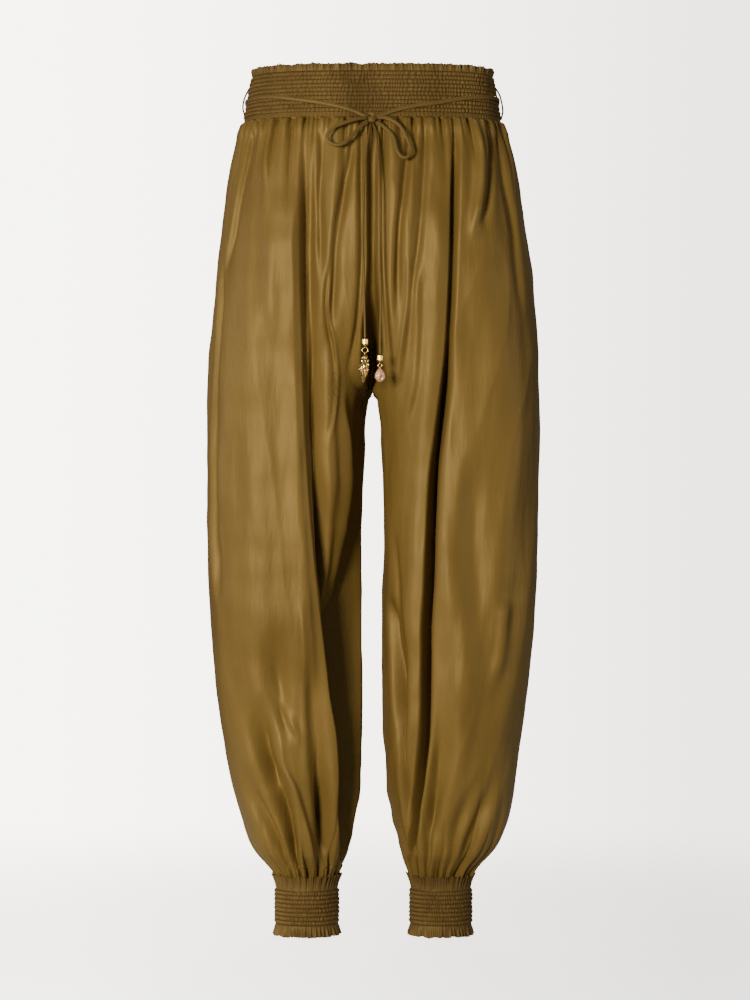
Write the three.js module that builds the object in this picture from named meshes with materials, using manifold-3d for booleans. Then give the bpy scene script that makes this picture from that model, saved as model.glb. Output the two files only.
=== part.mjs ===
// Balloon pants of satin: four gathered leg panels, a shirred waistband, two shirred cuffs,
// and a tie whose tails end in metal caps, jump rings and shell charms.
// Millimetres. The origin is the centre of the waist opening at its top, +Z is up,
// the front faces -Y, and +X is on the right of somebody who looks at the front.
import * as THREE from "three";
import { mergeVertices } from "three/addons/utils/BufferGeometryUtils.js";
import Module from "manifold-3d";

const wasm = await Module();
wasm.setup();

// Sizes of the cloth.
const SEAM_GAP = 0.3;
const CLOTH = 1.6;
const BAND_CLOTH = 1.5;
const CUFF_CLOTH = 1.3;
const FRILL_CLOTH = 1.1;
const WAIST_SEAM_Z = -64;
const CROTCH_Z = -386;
const LEG_END_Z = -979.5;
const RISE_CURVE = 2.2;

// Outline of the two legs by height: how far each leg's outer and inner side stand from the middle,
// half the depth from front to back, and how square the section is (2 is an ellipse).
// Above the crotch the two legs are cut along the middle, and the inner columns aren't used.
const OUTLINE = [
  { z: -64, leftOuter: 155, leftInner: 0, rightOuter: 156, rightInner: 0, depth: 100, square: 3.2 },
  { z: -69, leftOuter: 158, leftInner: 0, rightOuter: 158, rightInner: 0, depth: 103, square: 3.1 },
  { z: -88, leftOuter: 163, leftInner: 0, rightOuter: 165, rightInner: 0, depth: 108, square: 3 },
  { z: -127, leftOuter: 171, leftInner: 0, rightOuter: 175, rightInner: 0, depth: 114, square: 2.9 },
  { z: -185, leftOuter: 180, leftInner: 0, rightOuter: 183, rightInner: 0, depth: 118, square: 2.8 },
  { z: -243, leftOuter: 186, leftInner: 0, rightOuter: 191, rightInner: 0, depth: 117, square: 2.6 },
  { z: -301, leftOuter: 192, leftInner: 0, rightOuter: 196, rightInner: 0, depth: 112, square: 2.5 },
  { z: -355, leftOuter: 197, leftInner: 0, rightOuter: 200, rightInner: 0, depth: 106, square: 2.4 },
  { z: -386, leftOuter: 198, leftInner: 0, rightOuter: 200, rightInner: 0, depth: 104, square: 2.35 },
  { z: -437, leftOuter: 199, leftInner: 10, rightOuter: 200, rightInner: 10, depth: 101, square: 2.3 },
  { z: -495, leftOuter: 200, leftInner: 12, rightOuter: 199, rightInner: 13, depth: 99, square: 2.3 },
  { z: -591, leftOuter: 199, leftInner: 14, rightOuter: 198, rightInner: 14, depth: 96, square: 2.25 },
  { z: -669, leftOuter: 194, leftInner: 13, rightOuter: 194, rightInner: 13, depth: 93, square: 2.2 },
  { z: -746, leftOuter: 188, leftInner: 13, rightOuter: 187, rightInner: 12, depth: 88, square: 2.15 },
  { z: -824, leftOuter: 176, leftInner: 14, rightOuter: 176, rightInner: 16, depth: 80, square: 2.1 },
  { z: -862, leftOuter: 168, leftInner: 15, rightOuter: 170, rightInner: 20, depth: 74, square: 2.1 },
  { z: -901, leftOuter: 157, leftInner: 21, rightOuter: 163, rightInner: 26, depth: 66, square: 2.05 },
  { z: -940, leftOuter: 143, leftInner: 30, rightOuter: 146, rightInner: 36, depth: 55, square: 2 },
  { z: -953, leftOuter: 130, leftInner: 35, rightOuter: 132, rightInner: 40, depth: 46, square: 2 },
  { z: -967, leftOuter: 118, leftInner: 42, rightOuter: 120, rightInner: 45, depth: 37.5, square: 2 },
  { z: -975, leftOuter: 114.5, leftInner: 44.5, rightOuter: 117.5, rightInner: 47.5, depth: 34.8, square: 2 },
  { z: -980, leftOuter: 114, leftInner: 45, rightOuter: 117, rightInner: 48, depth: 34.4, square: 2 },
];

// The middle of each cuff and its two half sizes.
const CUFFS = {
  left: { centre: -79.5, half: 37.5 },
  right: { centre: 82.5, half: 36.5 },
};

// The long folds of each panel. The path gives x in the front view by height, and reach is how far
// a fold spreads to each side. A valley has a negative height, a step sinks all of the cloth between
// the fold and the middle of the garment.
const FOLDS = {
  frontLeft: [
    { height: -13, reach: 9, step: -9, path: [[-92, 80], [-316, 78], [-493, 71], [-682, 56], [-930, 40]] },
    { height: 7, reach: 16, step: 0, path: [[-138, 102], [-316, 99], [-493, 96], [-682, 84], [-888, 66]] },
    { height: -6, reach: 10, step: 0, path: [[-63, 13], [-168, 13], [-288, 15], [-368, 22]] },
    { height: -5, reach: 9, step: 0, path: [[-68, 24], [-128, 32], [-218, 42], [-318, 46]] },
    { height: -6, reach: 13, step: 0, path: [[-628, 134], [-738, 116], [-848, 88], [-928, 72]] },
    { height: -4, reach: 12, step: 0, path: [[-108, 120], [-228, 128], [-408, 132], [-548, 126]] },
  ],
  frontRight: [
    { height: -14, reach: 8, step: 0, path: [[-74, 97], [-281, 91], [-434, 78], [-624, 64], [-940, 48]] },
    { height: 6, reach: 12, step: 0, path: [[-128, 78], [-318, 68], [-468, 54], [-628, 42], [-808, 38]] },
    { height: 7, reach: 26, step: 0, path: [[-408, 112], [-548, 104], [-688, 98], [-808, 92]] },
    { height: -6, reach: 10, step: 0, path: [[-63, 12], [-168, 13], [-288, 15], [-368, 22]] },
    { height: -5, reach: 9, step: 0, path: [[-68, 42], [-118, 38], [-188, 32], [-288, 34]] },
    { height: -6, reach: 11, step: 0, path: [[-68, 134], [-138, 140], [-238, 150], [-408, 158]] },
    { height: -5, reach: 12, step: 0, path: [[-688, 124], [-788, 112], [-868, 96], [-933, 84]] },
  ],
  backLeft: [
    { height: -12, reach: 9, step: 0, path: [[-78, 88], [-288, 92], [-468, 84], [-678, 70], [-928, 52]] },
    { height: 6, reach: 18, step: 0, path: [[-148, 120], [-348, 126], [-548, 120], [-748, 104]] },
    { height: -7, reach: 11, step: 0, path: [[-63, 30], [-188, 38], [-318, 44]] },
    { height: -6, reach: 13, step: 0, path: [[-588, 140], [-728, 122], [-848, 96], [-932, 80]] },
  ],
  backRight: [
    { height: -13, reach: 9, step: 0, path: [[-78, 76], [-268, 80], [-458, 88], [-678, 78], [-928, 58]] },
    { height: 6, reach: 18, step: 0, path: [[-158, 112], [-368, 120], [-568, 112], [-768, 92]] },
    { height: -6, reach: 11, step: 0, path: [[-63, 26], [-178, 30], [-308, 38]] },
    { height: -6, reach: 13, step: 0, path: [[-68, 126], [-188, 138], [-368, 150]] },
    { height: -5, reach: 12, step: 0, path: [[-608, 44], [-728, 40], [-868, 44]] },
  ],
};

// Gathers by panel: how many start at the waist and at the cuff.
const WAIST_GATHERS = 13;
const CUFF_GATHERS = 11;
const WAIST_START = 5;
const CUFF_START = 20;

// Rows of a panel: the height of each row and how many faces it has across.
const PANEL_ROWS = [
  { z: -64, across: 39 }, { z: -72, across: 39 }, { z: -90, across: 39 },
  { z: -116, across: 18 }, { z: -152, across: 18 }, { z: -200, across: 18 }, { z: -258, across: 18 },
  { z: -318, across: 18 }, { z: -362, across: 18 }, { z: CROTCH_Z, across: 18 }, { z: -420, across: 18 },
  { z: -490, across: 18 }, { z: -570, across: 18 }, { z: -650, across: 18 }, { z: -730, across: 18 },
  { z: -803, across: 18 }, { z: -860, across: 18 }, { z: -902, across: 18 },
  { z: -932, across: 33 }, { z: -954, across: 33 }, { z: -970, across: 33 }, { z: LEG_END_Z, across: 33 },
];

const clamp = (value, low, high) => Math.min(high, Math.max(low, value));
const smooth = (value) => {
  const t = clamp(value, 0, 1);
  return t * t * (3 - 2 * t);
};
const bell = (distance, reach) => Math.exp(-((distance / reach) ** 2));

// A column of a table at a height, straight between rows.
function column(table, key, z) {
  let i = 0;
  while (i < table.length - 2 && table[i + 1].z > z) i += 1;
  const above = table[i];
  const below = table[i + 1];
  const t = clamp((above.z - z) / (above.z - below.z), 0, 1);
  return above[key] + (below[key] - above[key]) * t;
}

// The x of a fold at a height, and how much of the fold is left there.
function foldAt(fold, z) {
  const path = fold.path;
  const last = path.length - 1;
  let i = 0;
  while (i < last - 1 && path[i + 1][0] > z) i += 1;
  const t = clamp((path[i][0] - z) / (path[i][0] - path[i + 1][0]), 0, 1);
  const x = path[i][1] + (path[i + 1][1] - path[i][1]) * t;
  const length = path[0][0] - path[last][0];
  const fade = smooth((path[0][0] + 25 - z) / (0.12 * length)) * smooth((z - path[last][0] + 20) / (0.2 * length));
  return { x, fade };
}

// The section of a leg at a height.
function section(side, z) {
  const outer = column(OUTLINE, side + "Outer", z);
  const depth = column(OUTLINE, "depth", z);
  const square = column(OUTLINE, "square", z);
  if (z <= CROTCH_Z) {
    const inner = column(OUTLINE, side + "Inner", z);
    return { centre: (outer + inner) / 2, half: (outer - inner) / 2, depth, square, turn: Math.PI };
  }
  const share = ((WAIST_SEAM_Z - z) / (WAIST_SEAM_Z - CROTCH_Z)) ** RISE_CURVE;
  const half = outer / (1 + share);
  const turn = Math.PI - Math.atan2((1 - share ** square) ** (1 / square), share);
  return { centre: share * half, half, depth, square, turn };
}

// A point of a section, without folds. The share goes from 0 at the side seam to 1 at the inner seam.
function bare(leg, share) {
  const angle = share * leg.turn;
  const c = Math.cos(angle);
  const s = Math.sin(angle);
  const reach = (Math.abs(c) ** leg.square + Math.abs(s) ** leg.square) ** (-1 / leg.square);
  return [leg.centre + leg.half * reach * c, leg.depth * reach * s];
}

// The share of a section whose x is the one asked for.
function shareAt(leg, x) {
  const c = clamp((x - leg.centre) / leg.half, -0.999, 0.999);
  const s = (1 - Math.abs(c) ** leg.square) ** (1 / leg.square);
  return Math.atan2(s, c) / leg.turn;
}

// Panel shares: the faces of a row bunch beside the panel's main fold, which is the first of its list.
function shareOf(panel, leg, across, z) {
  const main = shareAt(leg, foldAt(FOLDS[panel][0], z).x);
  const middle = 0.5;
  const beside = 0.06;
  const tight = 8 / (leg.turn * leg.half);
  const knots = [[0, 0], [middle - beside, main - tight], [middle, main], [middle + beside, main + tight], [1, 1]];
  let i = 0;
  while (i < 3 && across > knots[i + 1][0]) i += 1;
  const t = (across - knots[i][0]) / (knots[i + 1][0] - knots[i][0]);
  const bunched = knots[i][1] + (knots[i + 1][1] - knots[i][1]) * t;
  const even = across;
  const free = smooth((WAIST_SEAM_Z - z) / 60) * smooth((z - LEG_END_Z) / 60);
  return even + (bunched - even) * free;
}

// Uneven ripples of a gathered edge: they start narrow and strong, and widen and fade away from it.
function gathers(across, count, away, start, seed) {
  const rise = 1 - Math.exp(-away / start);
  const uneven = 1 + 0.35 * Math.sin(7.3 * across + seed) + 0.25 * Math.sin(17.1 * across + 2 * seed);
  const near = 2.3 * Math.cos(2 * Math.PI * (count * across + 1 / 6)) * Math.exp(-away / 38);
  const wide = 3 * Math.cos(Math.PI * count * across + seed) * Math.exp(-away / 85);
  return rise * uneven * (near + wide);
}

// How far the cloth of a panel stands out of its plain section.
function raised(panel, side, leg, share, across, z) {
  const arc = leg.turn * (leg.half + leg.depth) / 2;
  const edge = smooth(share * arc / 12) * smooth((1 - share) * arc / 12);
  let height = 0;
  for (const fold of FOLDS[panel]) {
    const { x, fade } = foldAt(fold, z);
    const distance = (share - shareAt(leg, x)) * arc;
    height += fade * fold.height * bell(distance, fold.reach);
    height += fade * fold.step * smooth(distance / 14) * smooth((1 - share) * arc / 60);
  }
  const seed = panel.length + (side === "left" ? 0.6 : 2.1);
  height += gathers(across, WAIST_GATHERS, WAIST_SEAM_Z - z, WAIST_START, seed);
  height += 0.8 * gathers(across, CUFF_GATHERS, z - LEG_END_Z, CUFF_START, seed + 1);
  return height * edge;
}

// A point of a panel. The panel's name says whether it is front or back, left or right.
function panelPoint(panel, across, z, lift) {
  const side = panel.endsWith("Left") ? "left" : "right";
  const toRight = side === "left" ? -1 : 1;
  const toBack = panel.startsWith("front") ? -1 : 1;
  const leg = section(side, z);
  const share = shareOf(panel, leg, across, z);
  const [x, y] = bare(leg, share);
  const step = 0.002;
  const before = bare(leg, Math.max(0, share - step));
  const after = bare(leg, Math.min(1, share + step));
  const along = Math.hypot(after[0] - before[0], after[1] - before[1]);
  const outX = (after[1] - before[1]) / along;
  const outY = (before[0] - after[0]) / along;
  const height = raised(panel, side, leg, share, across, z) + lift;
  const px = Math.max(0, x + outX * height) + SEAM_GAP / 2;
  const py = Math.max(0, y + outY * height) + SEAM_GAP / 2;
  return new THREE.Vector3(toRight * px, toBack * py, z);
}

// The way out of a panel at a point, held in the seam's plane along the panel's edges.
function panelNormal(panel, across, z) {
  const a0 = Math.max(0, across - 0.004);
  const a1 = Math.min(1, across + 0.004);
  const z0 = Math.min(WAIST_SEAM_Z, z + 1.5);
  const z1 = Math.max(LEG_END_Z, z - 1.5);
  const acrossWay = panelPoint(panel, a1, z, 0).sub(panelPoint(panel, a0, z, 0));
  const downWay = panelPoint(panel, across, z1, 0).sub(panelPoint(panel, across, z0, 0));
  const out = new THREE.Vector3().crossVectors(downWay, acrossWay);
  const toBack = panel.startsWith("front") ? -1 : 1;
  const toRight = panel.endsWith("Left") ? -1 : 1;
  if (toBack * toRight < 0) out.negate();
  if (across === 0 || (across === 1 && z <= CROTCH_Z)) out.y = 0;
  if (across === 1 && z > CROTCH_Z) out.x = Math.min(0, toRight * out.x) * toRight;
  if (z === WAIST_SEAM_Z || z === LEG_END_Z) out.z = 0;
  return out.normalize();
}

// Triangles between two rows of points, whatever their counts. Each row is a list of { at, point }.
function zip(upper, lower, faces) {
  let i = 0;
  let j = 0;
  while (i < upper.length - 1 || j < lower.length - 1) {
    const stepUpper =
      j === lower.length - 1 || (i < upper.length - 1 && upper[i + 1].at <= lower[j + 1].at + 1e-9);
    if (stepUpper) {
      faces.push(upper[i].point, lower[j].point, upper[i + 1].point);
      i += 1;
    } else {
      faces.push(upper[i].point, lower[j].point, lower[j + 1].point);
      j += 1;
    }
  }
}

// A closed wall from outer rows and inner rows, listed from the top down. Each row runs across the
// piece, and on a ring it ends where it starts.
function wallFaces(outerRows, innerRows, ring) {
  const faces = [];
  const reversed = [];
  for (let i = 0; i + 1 < outerRows.length; i += 1) zip(outerRows[i], outerRows[i + 1], faces);
  for (let i = 0; i + 1 < innerRows.length; i += 1) zip(innerRows[i], innerRows[i + 1], reversed);
  zip(outerRows[0], innerRows[0], reversed);
  zip(outerRows.at(-1), innerRows.at(-1), faces);
  if (!ring) {
    const sideOf = (rows, index) => rows.map((row, at) => ({ at: at / (rows.length - 1), point: row.at(index).point }));
    zip(sideOf(outerRows, 0), sideOf(innerRows, 0), faces);
    zip(sideOf(outerRows, -1), sideOf(innerRows, -1), reversed);
  }
  for (let i = 0; i < reversed.length; i += 3) faces.push(reversed[i], reversed[i + 2], reversed[i + 1]);
  return faces;
}

const root = new THREE.Group();

const SATIN = new THREE.MeshStandardMaterial({ color: 0x7b5e2e, roughness: 0.42, metalness: 0 });
const THREAD = new THREE.MeshStandardMaterial({ color: 0x33210f, roughness: 0.8, metalness: 0 });
const GOLD = new THREE.MeshStandardMaterial({ color: 0xb88747, roughness: 0.28, metalness: 1 });
const PINK_SHELL = new THREE.MeshStandardMaterial({ color: 0xc79479, roughness: 0.3, metalness: 0.2 });

function addMesh(group, name, geometry, material) {
  const mesh = new THREE.Mesh(geometry, material);
  mesh.name = name;
  group.add(mesh);
  return mesh;
}

// A geometry from a list of points, three to a face, turned right side out.
function fromFaces(faces) {
  let volume = 0;
  const normal = new THREE.Vector3();
  for (let i = 0; i < faces.length; i += 3) {
    volume += faces[i].dot(normal.crossVectors(faces[i + 1], faces[i + 2]));
  }
  const positions = [];
  for (let i = 0; i < faces.length; i += 3) {
    const [a, b, c] = volume < 0 ? [faces[i], faces[i + 2], faces[i + 1]] : faces.slice(i, i + 3);
    positions.push(a.x, a.y, a.z, b.x, b.y, b.z, c.x, c.y, c.z);
  }
  return new THREE.BufferGeometry().setAttribute("position", new THREE.Float32BufferAttribute(positions, 3));
}

// The four leg panels.
const PANEL_NAMES = {
  frontLeft: "leg_front_left",
  frontRight: "leg_front_right",
  backLeft: "leg_back_left",
  backRight: "leg_back_right",
};
for (const [panel, name] of Object.entries(PANEL_NAMES)) {
  const outerRows = [];
  const innerRows = [];
  for (const { z, across } of PANEL_ROWS) {
    const outer = [];
    const inner = [];
    for (let i = 0; i <= across; i += 1) {
      const at = i / across;
      const point = panelPoint(panel, at, z, 0);
      outer.push({ at, point });
      inner.push({ at, point: point.clone().addScaledVector(panelNormal(panel, at, z), -CLOTH) });
    }
    outerRows.push(outer);
    innerRows.push(inner);
  }
  addMesh(root, name, fromFaces(wallFaces(outerRows, innerRows, false)), SATIN);
}

// A point of a level ring of the given half sizes, and the way out of it.
function ringPoint(at, centre, half, depth, square, z, lift) {
  const angle = 2 * Math.PI * at;
  const c = Math.cos(angle);
  const s = Math.sin(angle);
  const reach = (Math.abs(c) ** square + Math.abs(s) ** square) ** (-1 / square);
  const x = half * reach * c;
  const y = depth * reach * s;
  const outX = (Math.abs(x / half) ** (square - 1) * Math.sign(c)) / half;
  const outY = (Math.abs(y / depth) ** (square - 1) * Math.sign(s)) / depth;
  const out = Math.hypot(outX, outY);
  return new THREE.Vector3(centre + x + (outX / out) * lift, y + (outY / out) * lift, z);
}

// The rows of a shirred ring and of its frills, from the top down. Each row has a height, a count of
// faces, the lift of its outside and of its inside, and how far a ripple swings.
function ringRows(rows, shape) {
  const outerRows = [];
  const innerRows = [];
  for (const row of rows) {
    const outer = [];
    const inner = [];
    for (let i = 0; i <= row.across; i += 1) {
      const at = i / row.across;
      const ripple = row.swing * (i % 2 === 0 ? 1 : -1) * (1 + 0.3 * Math.sin(11 * at * 2 * Math.PI));
      const puff = row.puff * (i % 2 === 0 ? 1 : 0.35);
      const turn = i === row.across ? 0 : at;
      const edge = row.ragged * Math.sin(2 * Math.PI * (shape.frillWaves * 0.37 * at)) * (i % row.across ? 1 : 0);
      const size = shape.sizeAt(row.z);
      outer.push({ at, point: ringPoint(turn, size.centre, size.half, size.depth, size.square, row.z + edge, row.lift + ripple + puff) });
      inner.push({ at, point: ringPoint(turn, size.centre, size.half, size.depth, size.square, row.z + edge, row.lift + ripple - row.thick) });
    }
    outerRows.push(outer);
    if (row.inside) innerRows.push(inner);
  }
  return { outerRows, innerRows };
}

// The waistband: a frill, then eleven rows of shirring with a raised puff between each two.
const WAIST_ROWS = 11;
const WAIST_FIRST_Z = -9.5;
const WAIST_ROW_STEP = 4.9;
const WAIST_FACES = 44;
const WAIST_FRILL_FACES = 88;
const waistSize = (z) => {
  const down = clamp(z / WAIST_SEAM_Z, 0, 1);
  return { centre: 0, half: 143 + 11.5 * down, depth: 89 + 10.5 * down, square: 3.2 };
};

// The levels of a shirred tube below its frill: a stitched line, then a puff, and so on.
function shirring(first, step, count, across, thick, puff) {
  const rows = [];
  for (let i = 0; i < count; i += 1) {
    const z = first - step * i;
    const ends = i === 0 || i === count - 1;
    rows.push({ z, across, lift: 0, puff: 0, swing: 0, ragged: 0, thick, inside: ends });
    if (i < count - 1) {
      rows.push({ z: z - step / 2, across, lift: 0, puff, swing: 0, ragged: 0, thick, inside: false });
    }
  }
  return rows;
}

const waistRows = [
  { z: 0, across: WAIST_FRILL_FACES, lift: 1.5, puff: 0, swing: 1.9, ragged: 0.5, thick: FRILL_CLOTH, inside: true },
  { z: -5, across: WAIST_FRILL_FACES, lift: 0.8, puff: 0, swing: 1.2, ragged: 0, thick: FRILL_CLOTH, inside: true },
  ...shirring(WAIST_FIRST_Z, WAIST_ROW_STEP, WAIST_ROWS, WAIST_FACES, BAND_CLOTH, 1.5),
  { z: WAIST_SEAM_Z + SEAM_GAP, across: WAIST_FACES, lift: 0.4, puff: 0, swing: 0, ragged: 0, thick: BAND_CLOTH, inside: true },
];
const waist = ringRows(waistRows, { sizeAt: waistSize, frillWaves: WAIST_FRILL_FACES / 2 });
addMesh(root, "waistband", fromFaces(wallFaces(waist.outerRows, waist.innerRows, true)), SATIN);

// The cuffs: a ruffled heading that stands up round the end of the leg, nine rows, a ruffled hem.
const CUFF_ROWS = 9;
const CUFF_FIRST_Z = -986;
const CUFF_ROW_STEP = 5.1;
const CUFF_FACES = 20;
const CUFF_FRILL_FACES = 28;
const HEADING_TOP_Z = -964;
const HEADING_FOLD_Z = -973;
const HEM_SEAM_Z = -1032;
const HEM_Z = -1041;
for (const [side, cuff] of Object.entries(CUFFS)) {
  const cuffSize = () => ({ centre: cuff.centre, half: cuff.half, depth: cuff.half + 0.8, square: 2.1 });
  const frill = { across: CUFF_FRILL_FACES, puff: 0, thick: FRILL_CLOTH, inside: true };
  const rows = [
    { ...frill, z: HEADING_TOP_Z, lift: 9.5, swing: 1.8, ragged: 0.8 },
    { ...frill, z: HEADING_FOLD_Z, lift: 4.6, swing: 0.7, ragged: 0 },
    ...shirring(CUFF_FIRST_Z, CUFF_ROW_STEP, CUFF_ROWS, CUFF_FACES, CUFF_CLOTH, 1.4),
    { ...frill, z: HEM_SEAM_Z, lift: 0.6, swing: 0.9, ragged: 0 },
    { ...frill, z: HEM_Z, lift: 1.6, swing: 1.8, ragged: 0.8 },
  ];
  const { outerRows, innerRows } = ringRows(rows, { sizeAt: cuffSize, frillWaves: CUFF_FRILL_FACES / 2 });
  addMesh(root, "cuff_" + side, fromFaces(wallFaces(outerRows, innerRows, true)), SATIN);
}

// A strand along a route, with an oval section of two sizes. On a route that lies in one plane, the
// first size is across the route in that plane.
function strand(points, steps, inPlane, through, sides) {
  const outline = [];
  for (let k = 0; k < sides; k += 1) {
    const angle = (2 * Math.PI * k) / sides;
    outline.push(new THREE.Vector2((Math.cos(angle) * inPlane) / 2, (Math.sin(angle) * through) / 2));
  }
  const path = new THREE.CatmullRomCurve3(points, false, "centripetal");
  const section = new THREE.Shape(outline);
  return new THREE.ExtrudeGeometry(section, { steps, extrudePath: path, bevelEnabled: false });
}
const asVectors = (rows) => rows.map((row) => new THREE.Vector3(...row));

// The tie: a flat rouleau outside the waistband, from one side of the knot round the back to the other.
const TIE_WIDTH = 5;
const TIE_THICK = 2;
const TIE_LIFT = 3.1;
const TIE_BACK_Z = -38;
const TIE_HEIGHTS = [
  { x: -150, z: -39 }, { x: -129, z: -38.5 }, { x: -85, z: -44 }, { x: -50, z: -50 }, { x: -24, z: -57 },
  { x: 0, z: -64.5 }, { x: 24, z: -58 }, { x: 43, z: -53 }, { x: 79, z: -47 }, { x: 115, z: -40 }, { x: 150, z: -36 },
];
function tieHeight(x) {
  let i = 0;
  while (i < TIE_HEIGHTS.length - 2 && TIE_HEIGHTS[i + 1].x < x) i += 1;
  const a = TIE_HEIGHTS[i];
  const b = TIE_HEIGHTS[i + 1];
  return a.z + (b.z - a.z) * clamp((x - a.x) / (b.x - a.x), 0, 1);
}
function tiePoint(at) {
  const level = waistSize(TIE_BACK_Z);
  const rough = ringPoint(at, 0, level.half, level.depth, level.square, 0, 0);
  const towardsBack = smooth((rough.y + 40) / 80);
  const z = tieHeight(rough.x) * (1 - towardsBack) + TIE_BACK_Z * towardsBack;
  const size = waistSize(z);
  return ringPoint(at, 0, size.half, size.depth, size.square, z, TIE_LIFT);
}
const FRONT_MIDDLE = 0.75;
const TIE_END = 0.0105;
const tieRoute = [tiePoint(FRONT_MIDDLE + TIE_END)];
for (let i = 1; i < WAIST_FACES; i += 1) tieRoute.push(tiePoint(FRONT_MIDDLE + i / WAIST_FACES));
tieRoute.push(tiePoint(FRONT_MIDDLE + 1 - TIE_END));
addMesh(root, "tie_round_waist", strand(tieRoute, 46, TIE_THICK, TIE_WIDTH, 6), SATIN);

// The bow: two loops of the flat rouleau, and two rounded tails that hang plumb once they are clear
// of the fullness of the front.
const LOOP_WIDTH = 3.4;
const LOOP_THICK = 1.6;
const TAIL = 2.6;
const LOOPS = {
  bow_loop_left: [
    [-6.5, -107.6, -66.8], [-20.5, -114, -69.7], [-42.8, -117, -77.9], [-53.4, -118.5, -89.7], [-48, -119.5, -98.5],
    [-37, -120, -99.5], [-25.8, -118.5, -91], [-14.6, -114, -78.5], [-5.4, -109, -72.2],
  ],
  bow_loop_right: [
    [5.5, -107.6, -66.8], [18.3, -114, -68.5], [32.4, -117, -77.9], [43, -119, -97.9], [45.5, -121, -108.5],
    [38, -122, -115.5], [29.6, -121, -108.5], [24.2, -118, -89.7], [13, -114, -77.9], [4.4, -109, -72.2],
  ],
};
const TAILS = {
  tail_left: [
    [-1.9, -107.4, -74], [-5, -113, -90], [-8.6, -118, -120], [-10.3, -124, -165], [-11.3, -126, -212],
    [-10.3, -126, -253], [-9.3, -126, -295], [-8.7, -126, -327.1],
  ],
  tail_right: [
    [0.9, -107.4, -74], [4.6, -113, -90], [7.5, -118, -124], [9.1, -124, -165], [8.6, -126, -235],
    [9.8, -126, -270], [9.2, -126, -310], [8.9, -126, -346.3],
  ],
};
for (const [name, rows] of Object.entries(LOOPS)) {
  addMesh(root, name, strand(asVectors(rows), 16, LOOP_WIDTH, LOOP_THICK, 6), SATIN);
}
for (const [name, rows] of Object.entries(TAILS)) {
  addMesh(root, name, strand(asVectors(rows), 19, TAIL, TAIL, 8), SATIN);
}

// The thread carriers: a slim strand at each side seam that stands out over the tie.
const CARRIER = 1.4;
const CARRIERS = {
  thread_carrier_left: [
    [-147.8, -14, -19.3], [-152.6, -14, -28], [-155.3, -14, -36], [-156.2, -14, -44], [-154, -14, -53.6],
  ],
  thread_carrier_right: [
    [147.8, -14, -19.3], [152.6, -14, -27], [155.4, -14, -36], [157, -14, -48], [154.8, -14, -58.4],
  ],
};
for (const [name, rows] of Object.entries(CARRIERS)) {
  addMesh(root, name, strand(asVectors(rows), 8, CARRIER, CARRIER, 6), THREAD);
}

// A solid of revolution about Z from rows of { up, radius }, whose points may be moved one by one.
function turned(rows, columns, moved) {
  const profile = rows.map(({ up, radius }) => new THREE.Vector2(radius, up));
  const geometry = new THREE.LatheGeometry(profile, columns).rotateX(Math.PI / 2);
  geometry.deleteAttribute("normal");
  geometry.deleteAttribute("uv");
  const merged = mergeVertices(geometry);
  const position = merged.getAttribute("position");
  for (let i = 0; i < position.count; i += 1) {
    const [x, y, z] = moved(position.getX(i), position.getY(i), position.getZ(i));
    position.setXYZ(i, x, y, z);
  }
  return merged;
}
const unmoved = (x, y, z) => [x, y, z];

// A loop of wire round the X axis, so that a ring which faces the front passes through it.
const eyeLoop = (radius, wire, up) =>
  new THREE.TorusGeometry(radius, wire, 6, 12).rotateY(Math.PI / 2).translate(0, 0, up);

const solidOf = (geometry) => {
  const bare = geometry.clone();
  bare.deleteAttribute("normal");
  bare.deleteAttribute("uv");
  const { index, attributes } = mergeVertices(bare);
  const mesh = { numProp: 3, vertProperties: attributes.position.array, triVerts: new Uint32Array(index.array) };
  return new wasm.Manifold(new wasm.Mesh(mesh));
};

// Two geometries that meet, as one.
function joined(first, second) {
  const made = solidOf(first).add(solidOf(second)).getMesh();
  const geometry = new THREE.BufferGeometry();
  geometry.setAttribute("position", new THREE.BufferAttribute(new Float32Array(made.vertProperties), 3));
  return geometry.setIndex(new THREE.BufferAttribute(new Uint32Array(made.triVerts), 1));
}

// The knot of the bow, wider than it is deep.
const KNOT_ROWS = [
  { up: -4.9, radius: 0 }, { up: -4.9, radius: 2.4 }, { up: -2.8, radius: 4.9 }, { up: 0, radius: 6 },
  { up: 2.6, radius: 5 }, { up: 4.3, radius: 2.6 }, { up: 4.3, radius: 0 },
];
const knot = addMesh(root, "tie_knot", turned(KNOT_ROWS, 12, (x, y, z) => [0.9 * x, 0.58 * y, z]), SATIN);
knot.position.set(-0.5, -107, -68.6);

// The trim on each tail: a cap with an eye below it, a ring through the eye, and a shell with an eye
// round the foot of the ring. Each eye faces sideways and each ring faces the front.
const CAP_LENGTH = 8.8;
const CAP_ROWS = [
  { up: -CAP_LENGTH, radius: 0 }, { up: -CAP_LENGTH, radius: 2.6 }, { up: -6.6, radius: 4 }, { up: -1, radius: 4 },
  { up: 0, radius: 3.1 }, { up: 0, radius: 0 },
];
const CONCH_ROWS = [
  { up: -34, radius: 0 }, { up: -34, radius: 1.2 }, { up: -31, radius: 2 }, { up: -26.4, radius: 3.4 },
  { up: -22, radius: 4.9 }, { up: -18.4, radius: 5.6 }, { up: -15, radius: 5.2 }, { up: -12.4, radius: 5.2 },
  { up: -9.6, radius: 4 }, { up: -7.4, radius: 3.9 }, { up: -5.4, radius: 2.9 }, { up: -3.6, radius: 2.9 },
  { up: -1.8, radius: 2.2 }, { up: 0, radius: 0.9 }, { up: 0, radius: 0 },
];
const CONCH_KNOBS = [{ up: -18.4, size: 0.24 }, { up: -12.4, size: 0.24 }, { up: -7.4, size: 0.22 }, { up: -3.6, size: 0.22 }];
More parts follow.
